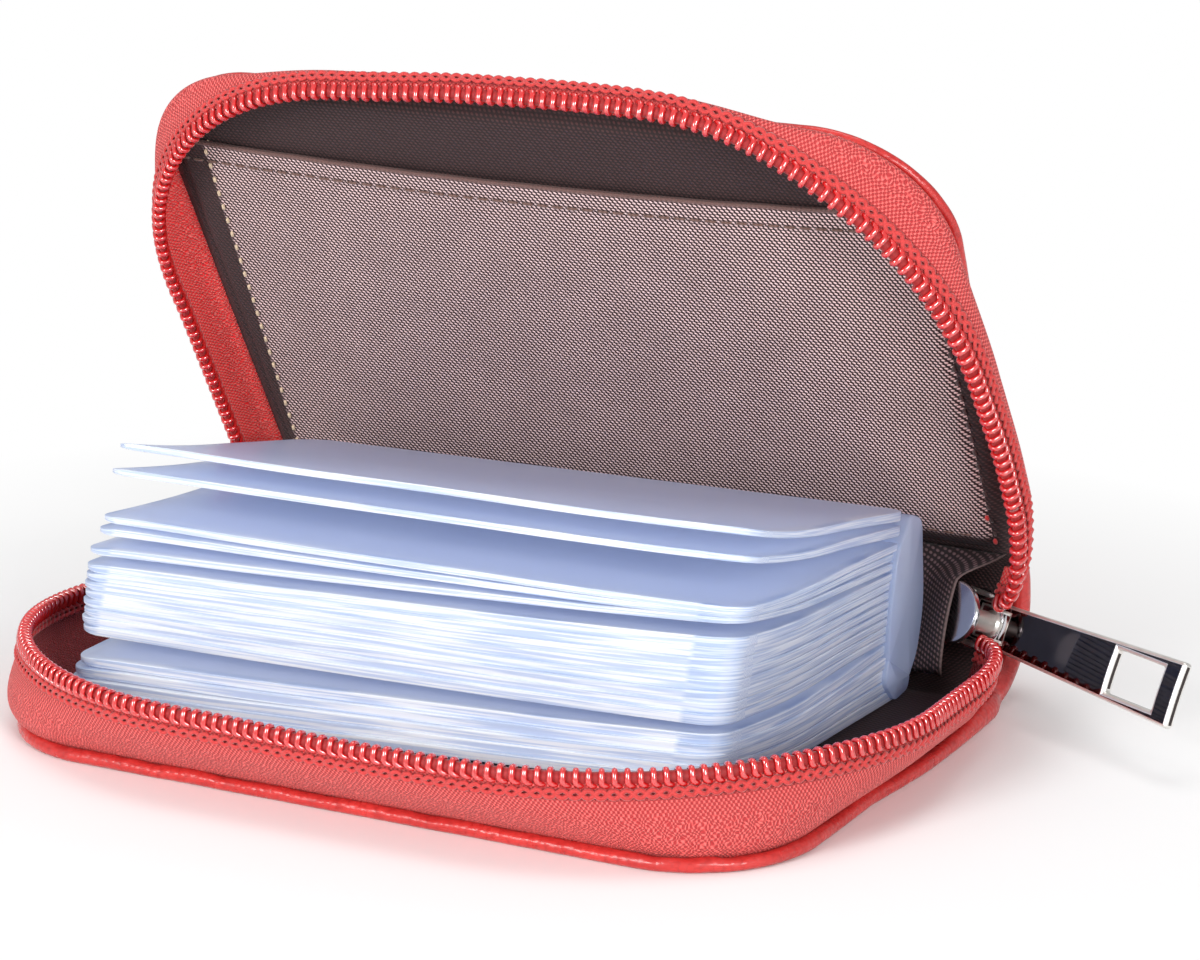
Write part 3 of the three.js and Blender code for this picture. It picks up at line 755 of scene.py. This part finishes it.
# On the slider: x towards its mouth, y out through its plates, z across the zip.
slider_axes = np.array([[0.88295, -0.46947, 0.0], [0.43528, 0.81866, -0.37461], [0.17587, 0.33076, 0.92718]])
on_slider = placed((50.0, 37.596, 11.498), *slider_axes)
mouth_x, mouth_foot, mouth_coil, lead_reach, lead_rows = 3.4, 7.6, 2.75, 5.3, 40


def lead_in(start, heading, mouth):
    """A cubic curve that leaves a cover's rim along the rim and enters the slider along its mouth."""
    t = np.linspace(0, 1, lead_rows)[:, None]
    return cubic(t, start, start + lead_reach * heading, mouth + lead_reach * slider_axes[0], mouth)


def half_zip(cover, place, hand, foot_at, coil_at, sway, spread, tilt):
    """Tape, coil, core and chain stitches of one cover, and their last stretch into the slider. foot_at and
    coil_at give the outset, corner and height of the tape's two edges. The tape spreads out from the rim and
    tilts back in at the coil."""
    head_line = swayed(rim_line(*coil_at), sway)
    head_line = walk(head_line, np.linspace(0, path_length(head_line[:, :3])[-1], rim_rows))
    foot_line = facing(rim_line(*foot_at), head_line)
    foot, head = (place(*line[:, :3].T) for line in (foot_line, head_line))
    up = place(0, 0, 1) - place(0, 0, 0)
    out = place(head_line[:, 3], head_line[:, 4], 0) - place(0, 0, 0)
    leave = spread[0] * (foot_out * out + foot_up * up)
    arrive = spread[1] * (np.cos(tilt) * up - np.sin(tilt) * out)
    heading = place(0, -1, 0) - place(0, 0, 0)
    foot_end = lead_in(foot[-1], heading, on_slider(mouth_x, 0, -hand * mouth_foot))
    head_end = lead_in(head[-1], heading, on_slider(mouth_x, 0, -hand * mouth_coil))
    share, straight = np.linspace(0, 1, lead_rows)[:, None], (head_end - foot_end) / 3
    leave_end, arrive_end = ((1 - share) * slope[-1] + share * straight for slope in (leave, arrive))
    made, gone = {}, 0.0
    for part, low, high, away, over in (
        ("zip", foot, head, leave, arrive),
        ("end", foot_end, head_end, leave_end, arrive_end),
    ):
        lift = unit(over)
        made["coil", part], gone = coil_piece(f"{cover}_{part}_coil_winding", high, lift, gone)
        core = tube(high - cord_sink * lift, lift, cord_wide, cord_tall, 8)
        made["core", part] = surface(f"{cover}_{part}_coil_cord", core, zip_cord)
        rows = [low, high - coil_seat * lift, away, over]
        for face, side in (("outer", 1), ("inner", -1)):
            made[face, part] = chain_stitch(f"{cover}_{part}_{face}_stitch", (*rows, hand), side)
        if part == "zip":
            rows[:2] = (drawn_out(line) for line in rows[:2])
            rows[2:] = (np.concatenate([slope[:1].repeat(spare_rows, axis=0), slope]) for slope in rows[2:])
        made["tape", part] = tape_piece(f"{cover}_{part}_webbing", *rows, hand)
    return made, head[-1]


for cover, *settings in (
    ("lower", on_lower, 1, (-2.4, cover_corner - 2.4, 1.2), (5.9, 43.0, 11.2), lower_sway, (5.2, 3.2), 0.28),
    ("upper", on_upper, -1, (-0.8, cover_corner - 0.8, 1.0), (3.2, 37.6, 7.2), upper_sway, (4.5, 3.5), 0.6),
):
    made, rim_end = half_zip(cover, *settings)
    for (kind, part), piece in made.items():
        if part == "zip":
            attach(piece, cover + "_cover")
        else:
            bend_at_fold(piece, cover, rim_end, on_slider(mouth_x, 0, 0))
    for kind in ("tape", "coil"):
        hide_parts(f"{cover}_zip_{kind}")
        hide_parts(f"{cover}_{kind}_end")


def pillow(centre, half, power, axes, rows=14, columns=24):
    """A box with rounded faces and edges: a ball whose sines and cosines are raised to a small power."""
    up, turn = np.linspace(-np.pi / 2, np.pi / 2, rows)[:, None], full_turn(columns)
    out_x, out_y, rise = (squared(value, power) for value in (np.cos(turn), np.sin(turn), np.sin(up)))
    away = squared(np.cos(up), power)
    return np.array(centre) + points_of(away * out_x, away * out_y, rise) * np.array(half) @ axes


# Two ends of the tape's sewing thread, as small knots on the lining.
for number, (knot_s, knot_h) in enumerate(((9.9, 3.7), (5.1, 3.0))):
    upper_axes = on_upper(*np.eye(3)) - on_upper(0, 0, 0)
    knot_grid = pillow(on_upper(52.2, knot_s, knot_h), (0.3, 0.5, 0.25), 1, upper_axes, 8, 12)
    fit(surface(f"tape_thread_end_{number}", knot_grid, zip_thread), "upper_cover", "zip_tape")


# End stops: small metal clips pinched over the coils' free ends beside the spine.
def metal(name, metallic, tones, shine, haze_pitch, dent_pitch, dent_detail):
    """Plated metal: a haze that changes its tone and its shine, and faint dents."""
    finish = Finish(name, Metallic=metallic)
    haze = finish.noise(haze_pitch, 3.0)
    finish.set(Base_Color=finish.mix(haze, *tones), Roughness=finish.grade(haze, 0.3, 0.7, *shine))
    finish.relief(finish.noise(dent_pitch, dent_detail), 0.01, 0.3)
    return finish


nickel = metal("nickel", 1.0, (shade(206, 206, 212), shade(232, 232, 236)), (0.16, 0.24), 3.0, 4.0, 1.0)
for cover, place in (("lower", on_lower), ("upper", on_upper)):
    stop_middle = 500 * np.sum(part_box(cover + "_zip_stop"), axis=0)
    stop_grid = pillow(stop_middle, (1.35, 1.1, 1.6), 0.5, place(*np.eye(3)) - place(0, 0, 0))
    fit(surface(cover + "_stop_clip", stop_grid, nickel), cover + "_cover", "nickel", cover + "_zip_stop")


# Spine lining: a strip of the same twill along the inside of the spine, folded under at its right end. Its
# tones are darkened as painted shade, and its fold has a painted highlight.
# On the spine: x along the folds, along from the lower fold to the upper one, ahead towards the sleeves.
spine_lean, spine_base = np.radians(30.25), np.array([0, fold_y, 0.75])
spine_along = np.array([0, np.sin(spine_lean), np.cos(spine_lean)])
spine_ahead = np.array([0, -np.cos(spine_lean), np.sin(spine_lean)])
on_spine = placed(spine_base, (1, 0, 0), spine_along, spine_ahead)

spine_cloth_painted_shade_and_highlight, strip_place, strip_dots = twill("spine_cloth_painted_shade_and_highlight")
# Painted shade: the twill's tones darkened as in shade.
strip_painted_shade_tone = spine_cloth_painted_shade_and_highlight.mix(spine_cloth_painted_shade_and_highlight.grade(strip_dots, 0.25, 0.7), shade(30, 18, 20), shade(108, 84, 86))
# Painted highlight: a pale line along the fold.
strip_fold_painted_highlight = spine_cloth_painted_shade_and_highlight.grade(strip_place[1], 0.0484, 0.0486)
spine_cloth_painted_shade_and_highlight.set(Base_Color=spine_cloth_painted_shade_and_highlight.mix(strip_fold_painted_highlight, strip_painted_shade_tone, shade(112, 92, 90)))
strip_stretches = (-47, 42, 50), (42.6, 47.3, 16), (47.5, 48.7, 8)
strip_x = np.concatenate([np.linspace(*stretch) for stretch in strip_stretches])[:, None]
strip_share = np.linspace(0, 1, 30)
strip_along = 2.4 + 16.8 * strip_share
strip_flat = points_of(strip_along, strip_x)
strip_curl = 1.7 * smooth((strip_x - 43.5) / 4.5) * np.sin(np.pi * strip_share) ** 0.5
strip_reach = strip_x + 5.0 * smooth((strip_x - 40) / 8.7) * smooth((strip_share - 0.7) / 0.3)
strip_bow = 4.6 + 0.45 * np.sin(np.pi * strip_share) + strip_curl
strip_bow = strip_bow + 0.15 * ripple(strip_flat[..., ::-1], 16, 53)
strip_hem = 0.1 * smooth((strip_x - 47.2) / 0.3) - 0.2 * smooth((strip_x - 48.3) / 0.4)
strip_faces = (strip_bow - 0.15 - strip_hem, strip_bow + 0.2 + strip_hem)
strip_grid = closed_sheet(*(on_spine(strip_reach, strip_along, face) for face in strip_faces))
spine_strip = surface("spine_strip", strip_grid, spine_cloth_painted_shade_and_highlight, uv=closed_sheet(strip_flat, strip_flat))
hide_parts("spine_lining")
bend_at_fold(spine_strip, "upper", on_spine(0, 19, 5), on_spine(0, 12, 5))


# Tail of the zip: the closed end of both tapes, sewn into the spine behind the lining strip.
tail_x, tail_across, tail_middle = np.linspace(33.4, 45.3, 14)[:, None], np.linspace(-6.4, 6.4, 40), 9.8
tail_faces = (0.15, 0.85 + 0.75 * np.exp(-((tail_across / 1.3) ** 2)))
tail_grid = closed_sheet(*(on_spine(tail_x, tail_middle + tail_across, face) for face in tail_faces))
tail_flat = points_of(tail_x, -np.abs(tail_across))
tail = surface("zip_tail_webbing", tail_grid, tape, uv=closed_sheet(tail_flat, tail_flat))
fit(tail, "spine", "zip_tape", "zip_tail")


# Slider: a bright nickel casting, two domed plates on a neck, with flanges along their edges and a
# bridge on the outer plate.
plate_long, plate_wide = 4.6, 4.05


def plate(base, thick, dome):
    """An oval plate: a rounded edge in section, turned about its middle and stretched along the zip."""
    turn = full_turn(72)
    edge = np.linspace(-np.pi / 2, np.pi / 2, 9)
    radius = np.concatenate([[0, 0.3, 0.6, 0.85], 0.925 + 0.075 * np.cos(edge), [0.85, 0.6, 0.3, 0]])[:, None]
    rise = np.concatenate([[0] * 4, thick / 2 + thick / 2 * np.sin(edge), [thick] * 4])[:, None]
    swell = dome * (1 - radius**2)
    rise = rise + np.where(rise > thick / 2, swell, -0.3 * swell)
    return on_slider(plate_long * radius * np.cos(turn), base + rise, plate_wide * radius * np.sin(turn))


def arch(centre_y, radius, wide, thick):
    """A half ring over the plate with a rounded section."""
    turn, section = np.linspace(-0.1, np.pi + 0.1, 33)[:, None], full_turn(16)
    away = radius + thick / 2 * squared(np.cos(section), 0.6)
    height = centre_y + np.sin(turn) * away
    return capped(on_slider(np.cos(turn) * away, height, wide / 2 * squared(np.sin(section), 0.6)))


satin = metal("satin_nickel", 0.85, (shade(226, 222, 216), shade(244, 242, 238)), (0.3, 0.38), 2.0, 1.5, 2.0)
neck_x, neck_y, neck_turn = 2.9, np.linspace(-2.7, 1.5, 21)[:, None], full_turn(28)
neck_radius = 1.4 + 0.3 * smooth((neck_y - 0.7) / 0.12)
neck_grid = on_slider(neck_x + neck_radius * np.cos(neck_turn), neck_y, neck_radius * np.sin(neck_turn))
slider_inner = surface("slider_inner_plate", plate(-3.4, 0.9, 0.0), nickel)
slider_parts = [
    surface("slider_outer_plate", plate(1.2, 1.0, 0.15), nickel),
    surface("slider_neck", capped(neck_grid), satin),
]
for face, flange_y in (("inner", -2.2), ("outer", 0.95)):
    for side, flange_z in (("low", -3.3), ("high", 3.3)):
        flange = pillow(on_slider(-0.6, flange_y, flange_z), (2.4, 0.42, 0.35), 0.5, slider_axes)
        slider_parts.append(surface(f"slider_flange_{face}_{side}", flange, satin))
slider_parts.append(surface("slider_bridge", arch(2.05, 2.75, 1.9, 1.1), satin))
fit(slider_inner, "slider", "nickel", "slider")
for part in slider_parts:
    fit(part, "slider", "nickel")


# Puller: a long tapered bar of the same nickel hooked under the bridge, its edges bevelled, with a
# slot at its root and a square hole for a finger tip near its end. Its flat faces are dark nickel, a painted
# dark reflection, and its bevels satin nickel.
pull_ends, pull_slot, pull_hole, pull_face = (-0.7, 37.1), (0.7, 5.6), (25.5, 33.9), 2.6
# Painted reflection: dark glossy nickel on the flat faces stands for the dark surroundings that they mirror.
nickel_painted_dark_reflection = metal("nickel_painted_dark_reflection", 1.0, (shade(68, 61, 61), shade(84, 77, 76)), (0.03, 0.08), 2.5, 5.0, 1.0)
pull_x = np.concatenate([
    [pull_ends[0], pull_slot[0]], np.linspace(2.0, 4.3, 3), [pull_slot[1]], np.linspace(6.6, 24.4, 12),
    [pull_hole[0]], np.linspace(27.2, 32.2, 4), [pull_hole[1], pull_ends[1]],
])
pull_half = np.interp(pull_x, pull_ends, [2.7, 4.1])
pull_inner = np.interp(pull_x, [*pull_slot, 9.0, 22.0, *pull_hole], [1.6, 1.6, 1.7, 2.6, 2.7, 2.7])
pull_side = np.stack([pull_inner / 3, pull_inner, (pull_half + pull_inner) / 2, pull_half], axis=1)
pull_z = np.concatenate([-pull_side[:, ::-1], pull_side], axis=1)
pull_crown = 0.16 * (1 - (pull_z / pull_half[:, None]) ** 2)
pull_points = on_slider(pull_x[:, None], pull_face - pull_crown, pull_z)
row, column = np.indices((len(pull_x) - 1, pull_z.shape[1] - 1)).reshape(2, -1, 1)
cell_x = (pull_x[row] + pull_x[row + 1]) / 2
cell_open = np.any([(cell_x > low) & (cell_x < high) for low, high in (pull_slot, pull_hole)], axis=0)
cell_open = (cell_open & (column >= 2) & (column <= 4)).ravel()
pull_faces = ((row + [0, 0, 1, 1]) * pull_z.shape[1] + column + [0, 1, 1, 0])[~cell_open]
pull_mesh = bpy.data.meshes.new("puller_bar")
pull_mesh.from_pydata((pull_points.reshape(-1, 3) / 1000).tolist(), [], pull_faces.tolist())
pull_mesh.shade_smooth()
pull_mesh.materials.append(nickel_painted_dark_reflection.material)
pull_mesh.materials.append(satin.material)
puller = bpy.data.objects.new("puller_bar", pull_mesh)
scene.collection.objects.link(puller)
pull_thick = puller.modifiers.new("thickness", "SOLIDIFY")
pull_thick.thickness = 0.00145
pull_thick.offset = -1
pull_bevel = puller.modifiers.new("bevel", "BEVEL")
pull_bevel.width = 0.0006
pull_bevel.segments = 3
pull_bevel.limit_method = "ANGLE"
pull_bevel.angle_limit = np.radians(40)
pull_bevel.harden_normals = True
pull_bevel.material = 1
fit(puller, "puller", "nickel", "puller")


# Binding: the sleeves' welded roots, a block of clear film with a rounded back, held along the spine
# lining. It bulges ahead in its middle.
def film(name, haze, glow, roughness, through, clear):
    """Clear film: a pale gloss over a share of light that spreads through it, less where it is welded, and a
    share that passes straight through. The colour and the weld's mark come with it."""
    finish = Finish(name, Roughness=roughness, Coat_Weight=0.2, Coat_Roughness=0.12)
    finish.relief(finish.noise(9, 2.0), 0.08, 0.4)
    weld = finish.add("Attribute", {}, out=2, attribute_name="weld", attribute_type="GEOMETRY")
    spread = finish.add("BsdfTranslucent", {"Color": glow})
    finish.overlay(finish.grade(weld, 0, 1, through, 0.6 * through), spread)
    finish.overlay(finish.grade(weld, 0, 1, clear, 0), finish.add("BsdfTransparent", {"Color": glow}))
    return finish, finish.mix(finish.grade(finish.noise(16, 3.0), 0.3, 0.7), *haze), weld


bind_left, bind_right, bind_round, bind_step = -45.0, 45.2, 0.4, 0.6
bind_haze = shade(212, 225, 250), shade(221, 232, 253)
bind_film, bind_colour, _ = film("bind_film", bind_haze, shade(218, 231, 254), 0.12, 0.3, 0.33)
bind_film.set(Base_Color=bind_colour)


def rounded_section(corners, rounds):
    """A polygon whose corners are rounded by quadratic curves that start and end a round's length away."""
    corners, rounds = np.array(corners, float), np.array(rounds)[:, None]
    start, end = (corners + rounds * unit(np.roll(corners, side, axis=0) - corners) for side in (1, -1))
    t = np.linspace(0, 1, 9)[:, None]
    bend = (1 - t) ** 2 * start[:, None] + 2 * (1 - t) * t * corners[:, None] + t**2 * end[:, None]
    return bend.reshape(-1, 2)


def bound_roots(name, section):
    """A block of film with one section all along and rounded ends, its crest falling a little to the left."""
    end = np.linspace(0, 1, 8)
    round_end = np.sqrt(np.clip(1 - end[::-1] ** 2, 0, 1))
    size = 0.96 + 0.04 * np.concatenate([round_end, np.ones(30), round_end[::-1]])
    between = np.linspace(bind_left + bind_step, bind_right - bind_step, 30)
    x = np.concatenate([bind_left + bind_round * end, between, bind_right - bind_round * end[::-1]])[:, None]
    middle = section.mean(axis=0)
    ahead, along = np.moveaxis(middle + size[:, None, None] * (section - middle), -1, 0)
    along = along - 0.019 * (45.4 - x) * smooth((along - 8) / 10)
    return surface(name, capped(on_spine(x, along, ahead)), bind_film)


binding = bound_roots("binding_film", rounded_section(
    [(6.2, 1.2), (5.5, 4.5), (6.8, 10.7), (13.6, 20.2), (17.2, 19.6), (18.6, 13.8), (16.3, 6.0), (13.8, 1.2)],
    [0.4, 1.2, 3.5, 1.1, 1.0, 2.0, 2.0, 0.4]))
binding_foot = bound_roots("binding_foot", rounded_section(
    [(5.9, -0.2), (6.2, 1.5), (13.9, 1.5), (13.3, -1.5), (9.2, -2.6)], [0.8, 0.3, 0.3, 1.2, 0.8]))
fit(binding, "spine", "clear_film", "sleeve_binding")
fit(binding_foot, "spine", "clear_film")
bind_anchor = tuple(on_spine(0, 1.5, 10) / 1000)
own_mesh(binding)
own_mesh(binding_foot)


# Card sleeves: two sheets of frosted clear film welded together round their edges, with rounded front
# corners, so that each swells a little inside its flat rim. They fan out from the binding.
sleeve_count, sleeve_left, sleeve_right, sleeve_tip = 18, -45.6, 44.6, 62.2
sleeve_front_round, sleeve_rear_round, first_upper_sleeve, sleeve_layer = 3.4, 2.0, 16, 2.0

film_haze = shade(238, 242, 251), shade(245, 248, 254)
clear_film, film_colour, film_weld = film("clear_film", film_haze, shade(227, 235, 251), 0.3, 0.42, 0.14)
film_flat = clear_film.flat()
film_long = clear_film.add("Mapping", {"Vector": film_flat, "Scale": (0.03, 1.0, 1.0)})
film_lines = clear_film.grade(clear_film.noise(0.55, 2.0, film_long), 0.42, 0.56)
film_fine = clear_film.grade(clear_film.noise(0.32, 1.0, film_long), 0.4, 0.6)
film_x = clear_film.parts(clear_film.place())[0]
# Painted light and shade: the welds along the sleeves' sides are a darker blue than those at the front, whose
# lines are brighter, as for sides in shade and a lit front.
film_left_painted_shade, film_right_painted_shade = clear_film.grade(film_x, -0.0413, -0.0421), clear_film.grade(film_x, 0.0388, 0.0396)
film_edge_painted_light_and_shade = clear_film.mix(
    clear_film.most(film_left_painted_shade, film_right_painted_shade),
    clear_film.mix(film_lines, shade(200, 214, 240), shade(248, 251, 255)),
    clear_film.mix(film_fine, shade(180, 198, 230), shade(232, 239, 251)),
)
# Painted light: every sleeve but the top one glows faintly, less at the welds, to lighten the shade between
# the sleeves.
film_top = sleeve_layer * (sleeve_count - 0.5) / 1000
film_painted_glow = clear_film.grade(clear_film.parts(film_flat)[1], film_top + 5e-5, film_top - 5e-5)
clear_film.set(
    Base_Color=clear_film.mix(film_weld, film_colour, film_edge_painted_light_and_shade),
    Emission_Color=shade(218, 226, 244),
    Emission_Strength=clear_film.times(film_painted_glow, clear_film.grade(film_weld, 0, 1, 0.085, 0)),
)
clear_film.material.cycles.emission_sampling = "NONE"
fan_ratio = {c["joint"]: c["ratio"] for c in frame["record"]["behaviour"]["couplings"]}
fan_root = {j["name"]: j.get("pos_m") for j in frame["record"]["behaviour"]["joints"]}


def sleeve_outline(inset, left, right, depth):
    """A sleeve's outline drawn in by an inset: four round corners joined by straight edges, as x and distance
    from the root."""
    front, rear = max(sleeve_front_round - inset, 0.2), max(sleeve_rear_round - inset, 0.2)
    x0, x1, d1 = left + inset, right - inset, depth - inset
    corners = []
    for k, (x, d, radius, steps) in enumerate((
        (x1 - front, d1 - front, front, 10),
        (x0 + front, d1 - front, front, 10),
        (x0 + rear, inset + rear, rear, 5),
        (x1 - rear, inset + rear, rear, 5),
    )):
        turn = np.linspace(0, np.pi / 2, steps) + k * np.pi / 2
        corners.append(points_of(x + radius * np.cos(turn), d + radius * np.sin(turn)))
    edges = []
    for corner, after, steps in zip(corners, corners[1:] + corners[:1], (30, 18, 30, 18)):
        edges += [corner, np.linspace(corner[-1], after[0], steps + 2)[1:-1]]
    return np.concatenate(edges)


# A sleeve's rings, from the middle of a face to its edge: how far in each lies, and its share of the height.
ring_inset = np.array([21, 16, 12, 8, 5, 3, 1.9, 1.5, 1.1, 0.5, 0.12, 0.03, 0, 0])
ring_height = np.array([1, 1, 1, 1, 1, 1, 0.98, 0.95, 0.97, 1, 1, 0.95, 0.86, 0.5])


def sleeve(number):
    """One sleeve: rings from the middle of its upper face out to the weld, down its edge, and back to the
    middle of its lower face. It fills the room beside its neighbours, its root is bent up or down to the
    binding, and its front edge is pushed up, most of all at the right, by the cards that have been in it."""
    def tuned(numbers, values):
        """This sleeve's value, between those given for some of the sleeves."""
        return np.interp(number, numbers, values)

    node = f"sleeve_{number:02d}"
    root = 1000 * np.array(fan_root[node + "_fan"])
    slope = spine_lean * (1 + fan_ratio[node + "_fan"])
    depth = sleeve_tip - (root - spine_base) @ spine_ahead
    draw = np.random.default_rng(200 + number)
    left = sleeve_left + tuned([1, 6, 13, 18], [-1.3, 0.2, -0.9, 1.7]) + draw.uniform(-0.25, 0.25)
    right = sleeve_right + draw.uniform(-0.2, 0.2)
    front = depth - draw.uniform(-0.1, 0.25)
    height = np.concatenate([ring_height, -ring_height[::-1]])[:, None]
    outlines = [sleeve_outline(inset, left, right, front) for inset in ring_inset]
    spot = np.stack(outlines + outlines[::-1])
    x, d = spot[..., 0], spot[..., 1]
    share, aside = np.clip(d / depth, 0, 1), (x - sleeve_left) / (sleeve_right - sleeve_left)
    bend = tuned([1, 3, 5, 10, 16, 18], [-2.9, -1.7, -0.5, 0.2, 1.2, 2.6])
    bend = bend * (1 + 0.3 * x / 47) * (1 - share) ** 1.3
    lift_left = tuned([1, 3, 5, 6, 13, 14, 15, 16, 18], [-0.3, 0.2, 1.2, 1.3, 0.65, 0.65, 1.05, 0.5, 0.5])
    lift_right = tuned([1, 4, 5, 6, 13, 14, 15, 16, 18], [4.0, 4.9, 5.2, 3.4, 4.2, 4.7, 3.0, 1.45, 1.3])
    lift = (lift_left + (lift_right - lift_left) * aside) * share ** tuned([1, 5, 6], [2.2, 1.8, 1.3])
    thick_root = tuned([3, 5, 6, 10, 12, 16, 17], [0.76, 0.66, 0.46, 0.43, 0.48, 0.48, 0.66])
    thick_left = tuned([5, 6, 13, 14, 16, 17], [0.6, 0.55, 0.55, 0.46, 0.46, 0.42])
    thick_right = tuned([5, 6, 13, 14, 16, 17], [0.68, 0.7, 0.7, 0.38, 0.38, 0.42])
    thick = thick_root + (thick_left + (thick_right - thick_left) * aside - thick_root) * smooth(share)
    thin = (0.5 + 0.5 * smooth((x - left) / 4)) * (0.94 + 0.06 * smooth((right - x) / 2))
    wave = 0.3 * ripple(spot, 60, 7) * smooth(share * 1.6)
    wave = wave + 0.03 * ripple(spot, 40, 100 + number) * smooth(share * 2)
    h = thick * height * thin + wave + bend + lift
    up, ahead = (0, np.sin(slope), np.cos(slope)), (0, -np.cos(slope), np.sin(slope))
    points = placed(root, (1, 0, 0), ahead, up)(x, d, h)
    layer = points_of(path_length(outlines[-1]), sleeve_layer * number + 0.9 * height)
    layer = np.concatenate([layer[:1], layer, layer[-1:]])
    piece = surface(f"sleeve_film_{number:02d}", capped(points), clear_film, uv=layer)
    at = np.empty(3 * len(piece.data.vertices), np.float32)
    piece.data.vertices.foreach_get("co", at)
    at = 1000 * at.reshape(-1, 3) - root
    gap = np.min([at[:, 0] - left, right - at[:, 0], front - at @ ahead], axis=0)
    mark = piece.data.attributes.new("weld", "FLOAT", "POINT")
    mark.data.foreach_set("value", np.clip(1.4 - gap / 1.3, 0, 1).astype(np.float32))
    fit(piece, node, "clear_film", node)
    keep = tuned([1, 5, 6, 15, 16, 18], [0.12, 0.25, 0.3, 0.3, 0.2, 0.1])
    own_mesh(piece)
    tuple(up)


for number in range(1, sleeve_count + 1):
    sleeve(number)
